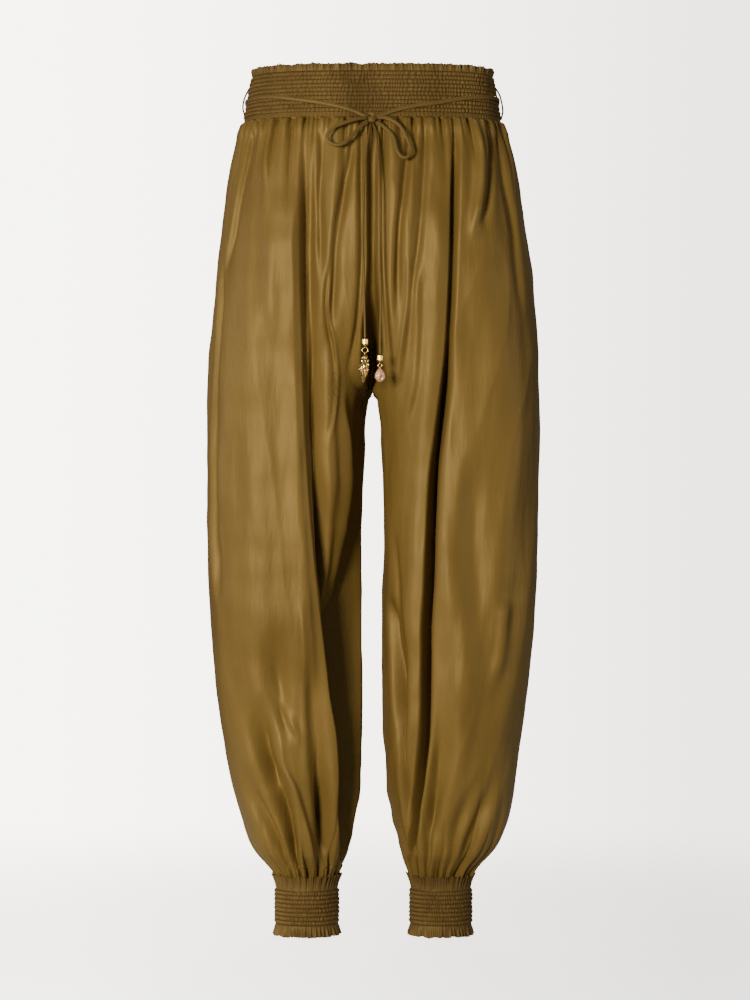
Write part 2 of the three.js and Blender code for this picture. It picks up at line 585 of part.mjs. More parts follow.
const PEAR_ROWS = [
  { up: -16.3, radius: 0 }, { up: -16.3, radius: 1 }, { up: -15.2, radius: 2.8 }, { up: -13, radius: 5 },
  { up: -10.2, radius: 6.2 }, { up: -7.4, radius: 5.9 }, { up: -4.2, radius: 4.7 }, { up: -1.6, radius: 2.9 },
  { up: 0, radius: 1.2 }, { up: 0, radius: 0 },
];
const SHELL_COLUMNS = 14;
const CONCH_LEAN = -2.2;

// Knobs stand on every other column of four rows of the conch, whose foot leans to one side.
function conchMove(x, y, z) {
  const knobs = CONCH_KNOBS.find(({ up }) => Math.abs(up - z) < 0.01);
  const place = Math.round((Math.atan2(y, x) / (2 * Math.PI)) * SHELL_COLUMNS);
  const size = knobs ? 1 + (place % 2 === 0 ? knobs.size : -0.3 * knobs.size) : 1;
  return [x * size + CONCH_LEAN * (z / 34) ** 2, y * size, z];
}

// The mouth of the pear shell is a hollow low on its right.
function pearMove(x, y, z) {
  const mouth = bell(z + 11, 4) * Math.max(0, Math.cos(Math.atan2(y, x) + Math.PI / 3)) ** 3;
  return [x * (1 - 0.3 * mouth), y * (1 - 0.3 * mouth), z];
}

const TRIM_Y = -126;
const RING_BELOW_CAP = 1.5;
const SHELL_CLEAR = 0.4;
const TRIMS = [
  { letter: "a", x: -8.7, top: -327.4, ring: 3.3, wire: 0.6, eye: 1.6, eyeWire: 0.5, rows: CONCH_ROWS, moved: conchMove, material: GOLD },
  { letter: "b", x: 8.9, top: -346.6, ring: 2.2, wire: 0.5, eye: 1.4, eyeWire: 0.42, rows: PEAR_ROWS, moved: pearMove, material: PINK_SHELL },
];
for (const trim of TRIMS) {
  const group = new THREE.Group();
  group.position.set(trim.x, TRIM_Y, trim.top);
  root.add(group);
  const eyeUp = -CAP_LENGTH - RING_BELOW_CAP;
  const cap = turned(CAP_ROWS, SHELL_COLUMNS, unmoved);
  addMesh(group, "end_cap_" + trim.letter, joined(cap, eyeLoop(trim.eye, trim.eyeWire, eyeUp)), GOLD);
  const ring = addMesh(group, "jump_ring_" + trim.letter, new THREE.TorusGeometry(trim.ring, trim.wire, 6, 20), GOLD);
  ring.rotation.x = Math.PI / 2;
  ring.position.z = eyeUp - trim.ring;
  const shell = turned(trim.rows, SHELL_COLUMNS, trim.moved).translate(0, 0, -trim.wire - SHELL_CLEAR);
  const charm = addMesh(group, "shell_charm_" + trim.letter, joined(shell, eyeLoop(trim.eye, trim.eyeWire, 0)), trim.material);
  charm.position.z = eyeUp - 2 * trim.ring;
}

export default root;
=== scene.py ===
"""Looks of the satin balloon pants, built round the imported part.

Shapes are worked out in millimetres in the part's own frame (+Z up, the front faces -Y) and
become metres when a mesh is made.
"""

import math

import bpy
import numpy as np
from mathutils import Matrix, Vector


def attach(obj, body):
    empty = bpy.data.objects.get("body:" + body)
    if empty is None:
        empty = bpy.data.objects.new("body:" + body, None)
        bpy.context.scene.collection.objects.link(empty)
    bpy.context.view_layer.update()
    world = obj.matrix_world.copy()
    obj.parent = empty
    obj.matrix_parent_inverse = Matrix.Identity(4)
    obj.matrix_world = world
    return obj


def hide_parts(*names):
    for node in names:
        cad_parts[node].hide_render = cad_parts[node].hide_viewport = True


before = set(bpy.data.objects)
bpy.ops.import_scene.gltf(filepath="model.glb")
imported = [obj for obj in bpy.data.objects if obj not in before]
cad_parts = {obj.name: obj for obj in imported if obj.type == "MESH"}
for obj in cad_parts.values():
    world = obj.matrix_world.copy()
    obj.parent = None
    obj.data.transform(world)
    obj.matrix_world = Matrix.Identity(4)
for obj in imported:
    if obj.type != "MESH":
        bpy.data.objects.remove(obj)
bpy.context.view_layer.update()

MM = 0.001
scene = bpy.context.scene


# Camera, in metres: level, 3.8 m in front of the garment and at half its height.
CAMERA_AWAY = 3.8
CAMERA_ASIDE = 0.003
CAMERA_HEIGHT = -0.5164
PHOTO_TALL_M = 1.21
SENSOR_MM = 36


def add_camera():
    data = bpy.data.cameras.new("camera")
    data.sensor_width = SENSOR_MM
    data.lens = SENSOR_MM * CAMERA_AWAY / PHOTO_TALL_M
    camera = bpy.data.objects.new("camera", data)
    camera.location = (CAMERA_ASIDE, -CAMERA_AWAY, CAMERA_HEIGHT)
    camera.rotation_euler = (math.radians(90), 0, 0)
    scene.collection.objects.link(camera)
    scene.camera = camera


add_camera()


# Small tools for shapes.
NOISE_CELLS = 64
NOISE_STRENGTH = 1.6
STEPS_BETWEEN = 24


def smooth(value):
    """0 below 0, 1 above 1, and an even S between them."""
    t = np.clip(value, 0, 1)
    return t * t * (3 - 2 * t)


def bell(distance, reach):
    """1 where distance is 0, about a third at reach and next to nothing at twice reach."""
    return np.exp(-((distance / reach) ** 2))


def eased(at, places, values):
    """A curve through listed values that never overshoots them, for places in rising order."""
    places = np.asarray(places, float)
    values = np.asarray(values, float)
    gap = np.diff(places)
    slope = np.diff(values) / gap
    lean = np.zeros(len(places))
    lean[0], lean[-1] = slope[0], slope[-1]
    if len(places) > 2:
        same_way = slope[:-1] * slope[1:] > 0
        safe_sum = np.where(same_way, slope[:-1] + slope[1:], 1)
        lean[1:-1] = np.where(same_way, 2 * slope[:-1] * slope[1:] / safe_sum, 0)
    at = np.clip(at, places[0], places[-1])
    i = np.clip(np.searchsorted(places, at, side="right") - 1, 0, len(gap) - 1)
    t = (at - places[i]) / gap[i]
    first = (1 + 2 * t) * (1 - t) ** 2 * values[i] + t * (1 - t) ** 2 * gap[i] * lean[i]
    second = t**2 * (3 - 2 * t) * values[i + 1] - t**2 * (1 - t) * gap[i] * lean[i + 1]
    return first + second


def by_height(table, z, column=1):
    """A column of a table that lists heights from the top down, at other heights."""
    table = np.asarray(table, float)
    return eased(-z, -table[:, 0], table[:, column])


def soft_noise(x, y, seed):
    """Smooth uneven waves between about -1 and 1, one to each unit of x and y."""
    turns = np.random.default_rng(seed).uniform(0, 2 * math.pi, (NOISE_CELLS, NOISE_CELLS))
    left, low = np.floor(x).astype(int), np.floor(y).astype(int)
    fx, fy = x - left, y - low
    u, v = smooth(fx), smooth(fy)

    def corner(dx, dy):
        turn = turns[(left + dx) % NOISE_CELLS, (low + dy) % NOISE_CELLS]
        return np.cos(turn) * (fx - dx) + np.sin(turn) * (fy - dy)

    bottom = corner(0, 0) * (1 - u) + corner(1, 0) * u
    top = corner(0, 1) * (1 - u) + corner(1, 1) * u
    return NOISE_STRENGTH * (bottom * (1 - v) + top * v)


def route(points, count):
    """A smooth route through listed points, with even steps."""
    p = np.asarray(points, float)
    p = np.vstack([2 * p[0] - p[1], p, 2 * p[-1] - p[-2]])
    fine = []
    for i in range(1, len(p) - 2):
        t = np.linspace(0, 1, STEPS_BETWEEN, endpoint=False)[:, None]
        a, b, c, d = p[i - 1], p[i], p[i + 1], p[i + 2]
        bend = 2 * a - 5 * b + 4 * c - d
        twist = 3 * b - a - 3 * c + d
        fine.append(0.5 * (2 * b + (c - a) * t + bend * t**2 + twist * t**3))
    fine = np.vstack([*fine, p[-2][None]])
    far = np.concatenate([[0], np.cumsum(np.linalg.norm(np.diff(fine, axis=0), axis=1))])
    even = np.linspace(0, far[-1], count)
    return np.stack([np.interp(even, far, fine[:, k]) for k in range(3)], axis=1)


def length_of(points):
    return float(np.linalg.norm(np.diff(points, axis=0), axis=1).sum())


def rows_object(name, parts, material):
    """One object of rows of points. Each part is (points, ring): rows by columns by xyz, in mm,
    and ring says that a row ends where it starts."""
    points, faces, start = [], [], 0
    for grid, ring in parts:
        rows, columns = grid.shape[:2]
        index = np.arange(rows * columns).reshape(rows, columns) + start
        right = np.roll(index, -1, axis=1) if ring else index[:, 1:]
        left = index if ring else index[:, :-1]
        quads = np.stack([left[:-1], left[1:], right[1:], right[:-1]], axis=-1)
        faces.append(quads.reshape(-1, 4))
        points.append(grid.reshape(-1, 3))
        start += rows * columns
    mesh = bpy.data.meshes.new(name)
    mesh.from_pydata(np.vstack(points) * MM, [], np.vstack(faces).tolist())
    mesh.polygons.foreach_set("use_smooth", np.ones(len(mesh.polygons), bool))
    mesh.materials.append(material)
    thing = bpy.data.objects.new(name, mesh)
    scene.collection.objects.link(thing)
    return thing


def rows_mesh(name, parts, material, ride="root"):
    """A piece of the garment or its trim, with the body that it rides on."""
    thing = rows_object(name, parts, material)
    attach(thing, ride)
    return thing


def oval(angle, half, depth, square):
    """Points of a rounder or squarer oval, and the way out at each."""
    c, s = np.cos(angle), np.sin(angle)
    reach = (np.abs(c) ** square + np.abs(s) ** square) ** (-1 / square)
    out_x = np.sign(c) * np.abs(reach * c) ** (square - 1) / half
    out_y = np.sign(s) * np.abs(reach * s) ** (square - 1) / depth
    size = np.hypot(out_x, out_y)
    return half * reach * c, depth * reach * s, out_x / size, out_y / size


def strand(points, width, thick, sides, facing):
    """Rows of an oval strand along points, closed at its ends. facing is the way its flat side looks."""
    along = np.gradient(points, axis=0)
    along /= np.linalg.norm(along, axis=1, keepdims=True)
    facing = np.broadcast_to(facing, points.shape)
    out = facing - (facing * along).sum(axis=1, keepdims=True) * along
    out /= np.linalg.norm(out, axis=1, keepdims=True)
    beside = np.cross(along, out)
    turn = np.linspace(0, 2 * math.pi, sides, endpoint=False)
    width = np.broadcast_to(width, len(points))[:, None, None]
    thick = np.broadcast_to(thick, len(points))[:, None, None]
    ring = (
        points[:, None]
        + beside[:, None] * np.cos(turn)[None, :, None] * width / 2
        + out[:, None] * np.sin(turn)[None, :, None] * thick / 2
    )
    first = np.broadcast_to(points[0], (1, sides, 3))
    last = np.broadcast_to(points[-1], (1, sides, 3))
    return np.concatenate([first, ring, last])


# Materials.
def linear(colour):
    """A colour such as "7b5e2e" as Blender's linear red, green, blue and alpha."""
    channels = [int(colour[i : i + 2], 16) / 255 for i in (0, 2, 4)]
    return [c / 12.92 if c <= 0.04045 else ((c + 0.055) / 1.055) ** 2.4 for c in channels] + [1]


def add_node(tree, kind, **values):
    """A node with its sockets and settings set by name. A socket's name has _ for each space."""
    made = tree.nodes.new("ShaderNode" + kind)
    for key, value in values.items():
        socket = made.inputs.get(key.replace("_", " "))
        if hasattr(made, key):
            setattr(made, key, value)
        elif isinstance(value, bpy.types.NodeSocket):
            tree.links.new(value, socket)
        else:
            socket.default_value = value
    return made


def start_material(name, **surface):
    """A material, its node tree and its shader, with the shader's own sockets set by name."""
    material = bpy.data.materials.new(name)
    material.use_nodes = True
    tree = material.node_tree
    shader = tree.nodes["Principled BSDF"]
    for key, value in surface.items():
        shader.inputs[key.replace("_", " ")].default_value = value
    return material, tree, shader


def pattern(tree, across, down, detail):
    """Soft uneven patches on the object's own coordinates, of the given sizes in mm across the cloth
    and down it."""
    place = add_node(tree, "TexCoord").outputs["Object"]
    scale = (1 / (across * MM), 1 / (across * MM), 1 / (down * MM))
    place = add_node(tree, "Mapping", vector_type="POINT", Vector=place, Scale=scale)
    noise = add_node(tree, "TexNoise", Vector=place.outputs["Vector"], Scale=1.0, Detail=detail)
    return noise.outputs["Fac"]


def two_tone(tree, factor, dark, light, low=0.0, high=1.0):
    """A colour that goes from dark to light while factor goes from low to high."""
    ramp = add_node(tree, "ValToRGB", Fac=factor)
    for stop, place, colour in zip(ramp.color_ramp.elements, (low, high), (dark, light)):
        stop.position = place
        stop.color = linear(colour)
    return ramp.outputs["Color"]


# Patterns: size across the cloth and down it, in mm, and detail.
SHADES = (90.909, 250, 4.0)
FINE_CREASES = (5.88235, 38.4615, 3.0)
SLUBS = (3.84615, 0.384615, 1.0)
WORN_PLACES = (2.38095, 2.38095, 4.0)
# Painted shade in the groove of a stitched row, where its darker thread also lies: its colour, and where
# the shade starts and ends as a share of the row step.
STITCHED_ROW_SHADE = "382810"
GROOVE_EDGE, GROOVE_WIDE = 0.03, 0.2


def satin(name, dark, light, gloss, rows=None):
    """Olive-gold polyester satin: a smooth face whose long warp floats give a broad soft sheen,
    faint slubs across it and faint creases down it. The slubs are drawn about four threads high,
    as one thread is too fine to show. Shirred cloth gets painted shade in the groove along each
    stitched row, where its darker stitching thread also lies. The rows are given as the height of
    the first, the step between them and their number."""
    material, tree, shader = start_material(
        name,
        Roughness=0.47,
        Specular_IOR_Level=gloss,
        Specular_Tint=linear("ecca84"),
        Sheen_Weight=0.1,
        Sheen_Roughness=0.45,
        Sheen_Tint=linear("b08638"),
        Anisotropic=0.3,
    )
    colour = two_tone(tree, pattern(tree, *SHADES), dark, light, 0.36, 0.64)
    # Painted shade: the colour darkens in the groove of each stitched row, where the darker thread also
    # lies.
    if rows:
        first, step, count = rows
        place = add_node(tree, "TexCoord").outputs["Object"]
        height = add_node(tree, "SeparateXYZ", Vector=place).outputs["Z"]
        level = add_node(
            tree, "MapRange", Value=height, clamp=False, From_Min=first * MM, From_Max=(first - step) * MM
        )
        held = add_node(tree, "Clamp", Value=level.outputs["Result"], Min=-0.5, Max=count - 0.5)
        near = add_node(tree, "Math", operation="PINGPONG")
        tree.links.new(held.outputs["Result"], near.inputs[0])
        near.inputs[1].default_value = 0.5
        groove_shade = add_node(
            tree, "MapRange", Value=near.outputs[0], interpolation_type="SMOOTHSTEP",
            From_Min=GROOVE_EDGE, From_Max=GROOVE_WIDE,
        )
        mix = add_node(tree, "Mix", data_type="RGBA")
        tree.links.new(groove_shade.outputs["Result"], mix.inputs["Factor"])
        colour_sockets = [socket for socket in mix.inputs if socket.type == "RGBA"]
        colour_sockets[0].default_value = linear(STITCHED_ROW_SHADE)
        tree.links.new(colour, colour_sockets[1])
        colour = [socket for socket in mix.outputs if socket.type == "RGBA"][0]
    tree.links.new(colour, shader.inputs["Base Color"])
    creases = pattern(tree, *FINE_CREASES)
    slubs = pattern(tree, *SLUBS)
    rough = add_node(tree, "Bump", Height=creases, Distance=1.1 * MM, Strength=0.45).outputs["Normal"]
    fine = add_node(tree, "Bump", Height=slubs, Distance=0.2 * MM, Strength=0.3, Normal=rough)
    tree.links.new(fine.outputs["Normal"], shader.inputs["Normal"])
    return material


def metal(name, dark, light, roughness):
    """Cast metal with gold-tone plating: a bright warm shine, a little patchy where it is worn."""
    material, tree, shader = start_material(name, Metallic=1.0, Roughness=roughness)
    worn = pattern(tree, *WORN_PLACES)
    tree.links.new(two_tone(tree, worn, dark, light, 0.38, 0.62), shader.inputs["Base Color"])
    pits = add_node(tree, "Bump", Height=worn, Distance=0.1 * MM, Strength=0.18)
    tree.links.new(pits.outputs["Normal"], shader.inputs["Normal"])
    return material


# How far apart a wave texture's bands are at scale 1, in mm: up the Z axis, and along any axis for
# diagonal ones.
WAVE_ALONG_Z, WAVE_DIAGONAL = 314.159, 628.318
GROWTH_LINE_STEP = 1.65347
TWIST_STEP = 1.49600


def pink_shell():
    """Polished natural shell: a smooth gloss over pink, with gold edges along its growth lines."""
    material, tree, shader = start_material(
        "polished_pink_shell", Roughness=0.24, Metallic=0.25, Coat_Weight=0.6, Coat_Roughness=0.12
    )
    place = add_node(tree, "TexCoord").outputs["Object"]
    bands = add_node(
        tree, "TexWave", bands_direction="Z", Vector=place, Scale=WAVE_ALONG_Z / GROWTH_LINE_STEP,
        Distortion=5.0, Detail=2.0,
    )
    colours = two_tone(tree, bands.outputs["Fac"], "b07a40", "f0b596", 0.15, 0.5)
    tree.links.new(colours, shader.inputs["Base Color"])
    lines = add_node(tree, "Bump", Height=bands.outputs["Fac"], Distance=0.4 * MM, Strength=0.35)
    tree.links.new(lines.outputs["Normal"], shader.inputs["Normal"])
    return material


def twisted_thread():
    """Dark polyester thread, twisted: matt, with a slanting line for each turn."""
    material, tree, shader = start_material("twisted_thread", Roughness=0.72, Sheen_Weight=0.2)
    place = add_node(tree, "TexCoord").outputs["Object"]
    twist = add_node(
        tree, "TexWave", bands_direction="DIAGONAL", Vector=place, Scale=WAVE_DIAGONAL / TWIST_STEP,
        Distortion=0.6,
    )
    tree.links.new(two_tone(tree, twist.outputs["Fac"], "1d1206", "4a3318"), shader.inputs["Base Color"])
    relief = add_node(tree, "Bump", Height=twist.outputs["Fac"], Distance=0.3 * MM, Strength=0.5)
    tree.links.new(relief.outputs["Normal"], shader.inputs["Normal"])
    return material


# The stitched rows: height of the first, step between two, and their number.
WAIST_FIRST_Z, CUFF_FIRST_Z = -9.5, -986
WAIST_STITCHING = (WAIST_FIRST_Z, 4.9, 11)
CUFF_STITCHING = (CUFF_FIRST_Z, 5.1, 9)
SATIN = satin("olive_gold_satin", "5b4822", "69552a", 0.46)
# The shirred copies are darker than the plain satin. This is painted shade for the shade between the
# puffs of the shirring; the cloth is the same satin.
SHIRRED_WAIST_SHADED = satin("shirred_waist_satin_painted_shade", "4b3b1f", "63502c", 0.25, WAIST_STITCHING)
SHIRRED_CUFF_SHADED = satin("shirred_cuff_satin_painted_shade", "4b3b1f", "63502c", 0.25, CUFF_STITCHING)
TIE_SATIN = satin("tie_satin", "4f3f20", "5b4a28", 0.3)
GOLD = metal("gold_tone_metal", "d2ab58", "ecd08a", 0.24)
THREAD = twisted_thread()
SHELL = pink_shell()


# The tails and loops of the bow, on the routes of the solids that they stand for.
FRONT = (0, -1, 0)
TAIL_WIDE, TAIL_THICK = 2.6, 2.236
LOOP_WIDE, LOOP_THICK = 4.2, 1.5
TAILS = {
    "tail_left": [
        (-1.9, -107.4, -74), (-5, -113, -90), (-8.6, -118, -120), (-10.3, -124, -165),
        (-11.3, -126, -212), (-10.3, -126, -253), (-9.3, -126, -295), (-8.7, -126, -327.1),
    ],
    "tail_right": [
        (0.9, -107.4, -74), (4.6, -113, -90), (7.5, -118, -124), (9.1, -124, -165),
        (8.6, -126, -235), (9.8, -126, -270), (9.2, -126, -310), (8.9, -126, -346.3),
    ],
}
LOOPS = {
    "bow_loop_left": [
        (-6.5, -107.6, -66.8), (-20.5, -114, -69.7), (-42.8, -117, -77.9), (-53.4, -118.5, -89.7),
        (-48, -119.5, -98.5), (-37, -120, -99.5), (-25.8, -118.5, -91), (-14.6, -114, -78.5),
        (-5.4, -109, -72.2),
    ],
    "bow_loop_right": [
        (5.5, -107.6, -66.8), (18.3, -114, -68.5), (32.4, -117, -77.9), (43, -119, -97.9),
        (45.5, -121, -108.5), (38, -122, -115.5), (29.6, -121, -108.5), (24.2, -118, -89.7),
        (13, -114, -77.9), (4.4, -109, -72.2),
    ],
}


def rouleau(points, width, thick, facing, seed):
    """Rows of a narrow turned tube of cloth that isn't quite even along its length."""
    far = np.linspace(0, length_of(points), len(points))
    plump = 1 + 0.07 * soft_noise(far / 9, 0, seed)
    return strand(points, width * plump, thick * plump, 14, facing)


cords = {}
for letter, (name, points) in zip("ab", TAILS.items()):
    line = route(points, 150)
    tube = rouleau(line, TAIL_WIDE, TAIL_THICK, FRONT, len(name))
    tail = rows_mesh(name + "_rouleau", [(tube, True)], TIE_SATIN)
    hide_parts(name)
    cords[letter] = (tail, line)
for name, points in LOOPS.items():
    line = route(points, 90)
    tube = rouleau(line, LOOP_WIDE, LOOP_THICK, FRONT, len(name) + 3)
    loop = rows_mesh(name + "_rouleau", [(tube, True)], TIE_SATIN)
    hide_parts(name)


# The trim on each tail: a cap, a ring and a shell.
def lathe(rows, columns, changed=None):
    """Rows of a turned shape about Z from (height, radius). changed may move its points."""
    rows = np.asarray(rows, float)
    turn = np.linspace(0, 2 * math.pi, columns, endpoint=False)
    radius = rows[:, 1][:, None]
    x, y = radius * np.cos(turn), radius * np.sin(turn)
    z = np.broadcast_to(rows[:, 0][:, None], x.shape)
    if changed:
        x, y, z = changed(x, y, z, turn)
    return np.stack([x, y, z], axis=-1)


def fine_profile(rows, count):
    """A profile with more rows, rounded between the listed ones. Rows run from the top down."""
    z = np.linspace(0, rows[-1][0], count)
    return np.stack([z, by_height(rows, z)], axis=1)


def torus(radius, wire, axis, centre):
    """Rows of a wire ring that turns about the X or the Y axis."""
    around = np.linspace(0, 2 * math.pi, 40, endpoint=False)[:, None]
    across = np.linspace(0, 2 * math.pi, 14, endpoint=False)[None]
    far = radius + wire * np.cos(across)
    a, b = far * np.cos(around), far * np.sin(around)
    c = np.broadcast_to(wire * np.sin(across), a.shape)
    rows = np.stack([c, a, b] if axis == "x" else [a, c, b], axis=-1) + np.array(centre)
    return np.concatenate([rows, rows[:1]])


# Profiles are (height, radius) from the top down. Knobs are (height, size, how many round).
CONCH_PROFILE = [
    (0, 0.9), (-1.8, 2.2), (-3.6, 2.7), (-5.4, 2.8), (-7.4, 3.5), (-9.6, 4.0), (-12.4, 5.0), (-15, 5.3),
    (-18.4, 5.4), (-22, 4.8), (-26.4, 3.4), (-31, 2.0), (-34, 1.1),
]
CONCH_KNOBS = [(-4, 0.28, 4), (-8, 0.4, 5), (-13, 0.6, 4), (-19, 0.42, 5), (-25, 0.2, 5)]
PEAR_PROFILE = [
    (0, 1.2), (-1.6, 2.9), (-4.2, 4.7), (-7.4, 5.9), (-10.2, 6.2), (-13, 5.0), (-15.2, 2.8),
    (-16.3, 1.0),
]
CAP_PROFILE = [
    (0, 0), (0, 3.1), (-0.5, 3.8), (-1, 4.0), *((-z, 4.0) for z in np.arange(1.4, 6.2, 0.4)),
    (-6.4, 4.0), (-7.3, 3.5), (-8.8, 2.6), (-8.8, 0),
]


def conch_shape(x, y, z, turn):
    """Rows of pointed knobs wind up the shell, a mouth is folded into its right side, and it leans."""
    swell = np.ones_like(x)
    for number, (height, size, count) in enumerate(CONCH_KNOBS):
        wound = height + 0.9 * np.cos(turn + number)
        peak = np.maximum(0, np.cos(count * turn + number)) ** 3
        swell = swell + size * bell(z - wound, 1.5) * (peak - 0.15)
    mouth = bell(z + 21, 7) * np.maximum(0, np.cos(turn + 0.75)) ** 4
    swell = swell * (1 - 0.34 * mouth) * (1 + 0.05 * np.sin(3 * turn + z * 0.5))
    return x * swell - 2.2 * (z / 34) ** 2, y * swell, z


def pear_shape(x, y, z, turn):
    """A mouth low on the right, and a soft whorl near the top."""
    mouth = bell(z + 11.5, 2.8) * np.maximum(0, np.cos(turn + math.pi / 3)) ** 9
    whorl = 0.05 * np.sin(turn + z * 1.9) * bell(z + 4, 4)
    swell = (1 - 0.7 * mouth) * (1 + whorl)
    return x * swell, y * swell, z


TRIM_Y = -126
CAP_LENGTH = 8.8
CAP_COLUMNS, CAP_RIBS = 64, 16
SHELL_COLUMNS = 72
RING_BELOW_CAP = 1.5
SHELL_CLEAR = 0.4
TRIMS = {
    "a": dict(
        x=-8.7, top=-327.4, ring=3.3, wire=0.6, eye=1.6, eye_wire=0.5,
        profile=fine_profile(CONCH_PROFILE, 120), shape=conch_shape, look=GOLD, slot="gold_metal",
    ),
    "b": dict(
        x=8.9, top=-346.6, ring=2.2, wire=0.5, eye=1.4, eye_wire=0.42,
        profile=fine_profile(PEAR_PROFILE, 60), shape=pear_shape, look=SHELL, slot="pink_shell",
    ),
}


def crimped(x, y, z, turn):
    """Shallow ribs round the cap."""
    ribs = 1 + 0.025 * np.cos(CAP_RIBS * turn) * smooth((-z - 1.2) * 2) * smooth((6.6 + z) * 2)
    return x * ribs, y * ribs, z


for letter, trim in TRIMS.items():
    place = np.array([trim["x"], TRIM_Y, trim["top"]])
    eye_z = -CAP_LENGTH - RING_BELOW_CAP
    ring_z = eye_z - trim["ring"]
    shell_z = ring_z - trim["ring"]
    cap_rows = lathe(CAP_PROFILE, CAP_COLUMNS, crimped)
    cap_eye = torus(trim["eye"], trim["eye_wire"], "x", (0, 0, eye_z))
    cap_parts = [(cap_rows + place, True), (cap_eye + place, True)]
    cap = rows_mesh("crimped_cap_" + letter, cap_parts, GOLD)
    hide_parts("end_cap_" + letter)
    ring_rows = torus(trim["ring"], trim["wire"], "y", (0, 0, ring_z))
    ring = rows_mesh(
        "wire_ring_" + letter, [(ring_rows + place, True)], GOLD, ride="ring_" + letter
    )
    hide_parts("jump_ring_" + letter)
    shell_rows = lathe(trim["profile"], SHELL_COLUMNS, trim["shape"])
    head, foot = (np.broadcast_to(shell_rows[end].mean(axis=0), (1, SHELL_COLUMNS, 3)) for end in (0, -1))
    shell_rows = np.concatenate([head, shell_rows, foot])
    shell_rows = shell_rows + np.array([0, 0, shell_z - trim["wire"] - SHELL_CLEAR])
    shell_eye = torus(trim["eye"], trim["eye_wire"], "x", (0, 0, shell_z))
    shell = rows_mesh(
        "shell_" + letter, [(shell_rows + place, True), (shell_eye + place, True)],
        trim["look"], ride="charm_" + letter,
    )
    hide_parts("shell_charm_" + letter)
    tail, line = cords[letter]


# The legs, with the heights and half sizes of the solids. At each height a leg reaches from its
# inner to its outer place, and is as deep to the front as to the back.
WAIST_SEAM_Z = -64
CROTCH_Z = -386
LEG_END_Z = -979.5
TUCKED_IN_WAIST, TUCKED_IN_CUFF = 3.5, 12
RISE_CURVE = 1.7
SIZE_BLUR = 12
TURN_BLUR = 32
OUTLINE_COLUMNS = ("z", "left_outer", "left_inner", "right_outer", "right_inner", "depth", "square")
OUTLINE = [
    (-64, 155, 0, 156, 0, 100, 3.2),
    (-69, 158, 0, 158, 0, 103, 3.1),
    (-88, 163, 0, 165, 0, 108, 3),
    (-127, 171, 0, 175, 0, 114, 2.9),
    (-185, 180, 0, 183, 0, 118, 2.8),
    (-243, 186, 0, 191, 0, 117, 2.9),
    (-301, 192, 0, 196, 0, 112, 2.9),
    (-355, 197, 0, 200, 0, 106, 2.85),
    (-386, 198, 0, 200, 0, 104, 2.8),
    (-437, 199, 10, 200, 10, 101, 2.75),
    (-495, 200, 12, 199, 13, 99, 2.75),
    (-591, 199, 14, 198, 14, 96, 2.7),
    (-669, 194, 13, 194, 13, 93, 2.6),
    (-746, 188, 13, 187, 12, 88, 2.45),
    (-824, 176, 14, 176, 16, 80, 2.25),
    (-862, 168, 15, 170, 20, 74, 2.1),
    (-901, 157, 21, 163, 26, 66, 2.05),
    (-940, 143, 30, 146, 36, 55, 2),
    (-953, 130, 35, 132, 40, 46, 2),
    (-967, 118, 42, 120, 45, 37.5, 2),
    (-975, 114.5, 44.5, 117.5, 47.5, 34.8, 2),
    (-980, 114, 45, 117, 48, 34.4, 2),
]


def outline(key, z):
    return by_height(OUTLINE, z, OUTLINE_COLUMNS.index(key))


def rise_share(z):
    """How far the inner seam has gone round from the middle of the front to the crotch."""
    return np.clip((WAIST_SEAM_Z - z) / (WAIST_SEAM_Z - CROTCH_Z), 0, 1) ** RISE_CURVE


def sharp_section(side, z):
    """Half width, middle and half turn of a leg's section at each height."""
    outer, inner, square = (outline(key, z) for key in (side + "_outer", side + "_inner", "square"))
    share = rise_share(z)
    half = np.where(z > CROTCH_Z, outer / (1 + share), (outer - inner) / 2)
    cut = np.pi - np.arctan2(np.maximum(0, 1 - share**square) ** (1 / square), share)
    return np.stack([half, outer - half, np.where(z > CROTCH_Z, cut, np.pi)])


def blurred(side, z, reach):
    """The section at each height, averaged with those within twice reach above and below it."""
    offsets = np.linspace(-2, 2, 17) * reach
    weights = bell(offsets, reach) / bell(offsets, reach).sum()
    return sum(weight * sharp_section(side, z + offset) for weight, offset in zip(weights, offsets))


class Leg:
    """The plain section of one leg at each height of a column of heights. Its half width and middle
    are smoothed down the leg, as the sharp ones turn a corner at the crotch."""

    def __init__(self, side, z):
        self.half, self.centre = blurred(side, z, SIZE_BLUR)[:2]
        self.soft_turn = blurred(side, z, TURN_BLUR)[2]
        self.turn = sharp_section(side, z)[2]
        self.depth = outline("depth", z)
        self.square = outline("square", z)
        self.inner = outline(side + "_inner", z)
        self.arc = self.turn * (self.half + self.depth) / 2

    def columns(self, place):
        """Shares of the turn for columns, given as 0 to 1, that drift slowly from row to row."""
        return (place * self.soft_turn + (self.turn - self.soft_turn) * place**11) / self.turn

    def bare(self, share):
        """Points and the way out of them, for shares from 0 at the side seam to 1 at the inner seam."""
        x, y, out_x, out_y = oval(share * self.turn, self.half, self.depth, self.square)
        x = self.centre + x
        return x - share**8 * (x[:, -1:] - self.inner), y, out_x, out_y

    def share_at(self, x):
        """The share of the turn at which the section is at a distance x from the middle."""
        c = np.clip((x - self.centre) / self.half, -0.999, 0.999)
        s = (1 - np.abs(c) ** self.square) ** (1 / self.square)
        return np.arctan2(s, c) / self.turn


# The long folds of the front, as (z, x). Several creases share them.
LEFT_FOLD = [
    (-290, 77), (-398, 75), (-493, 70), (-587, 63), (-682, 52), (-745, 45), (-800, 38), (-850, 36),
    (-965, 36),
]
RIGHT_FOLD = [
    (-434, 77), (-493, 70), (-552, 67), (-624, 64), (-672, 61), (-774, 60), (-842, 54), (-892, 48),
    (-940, 46),
]
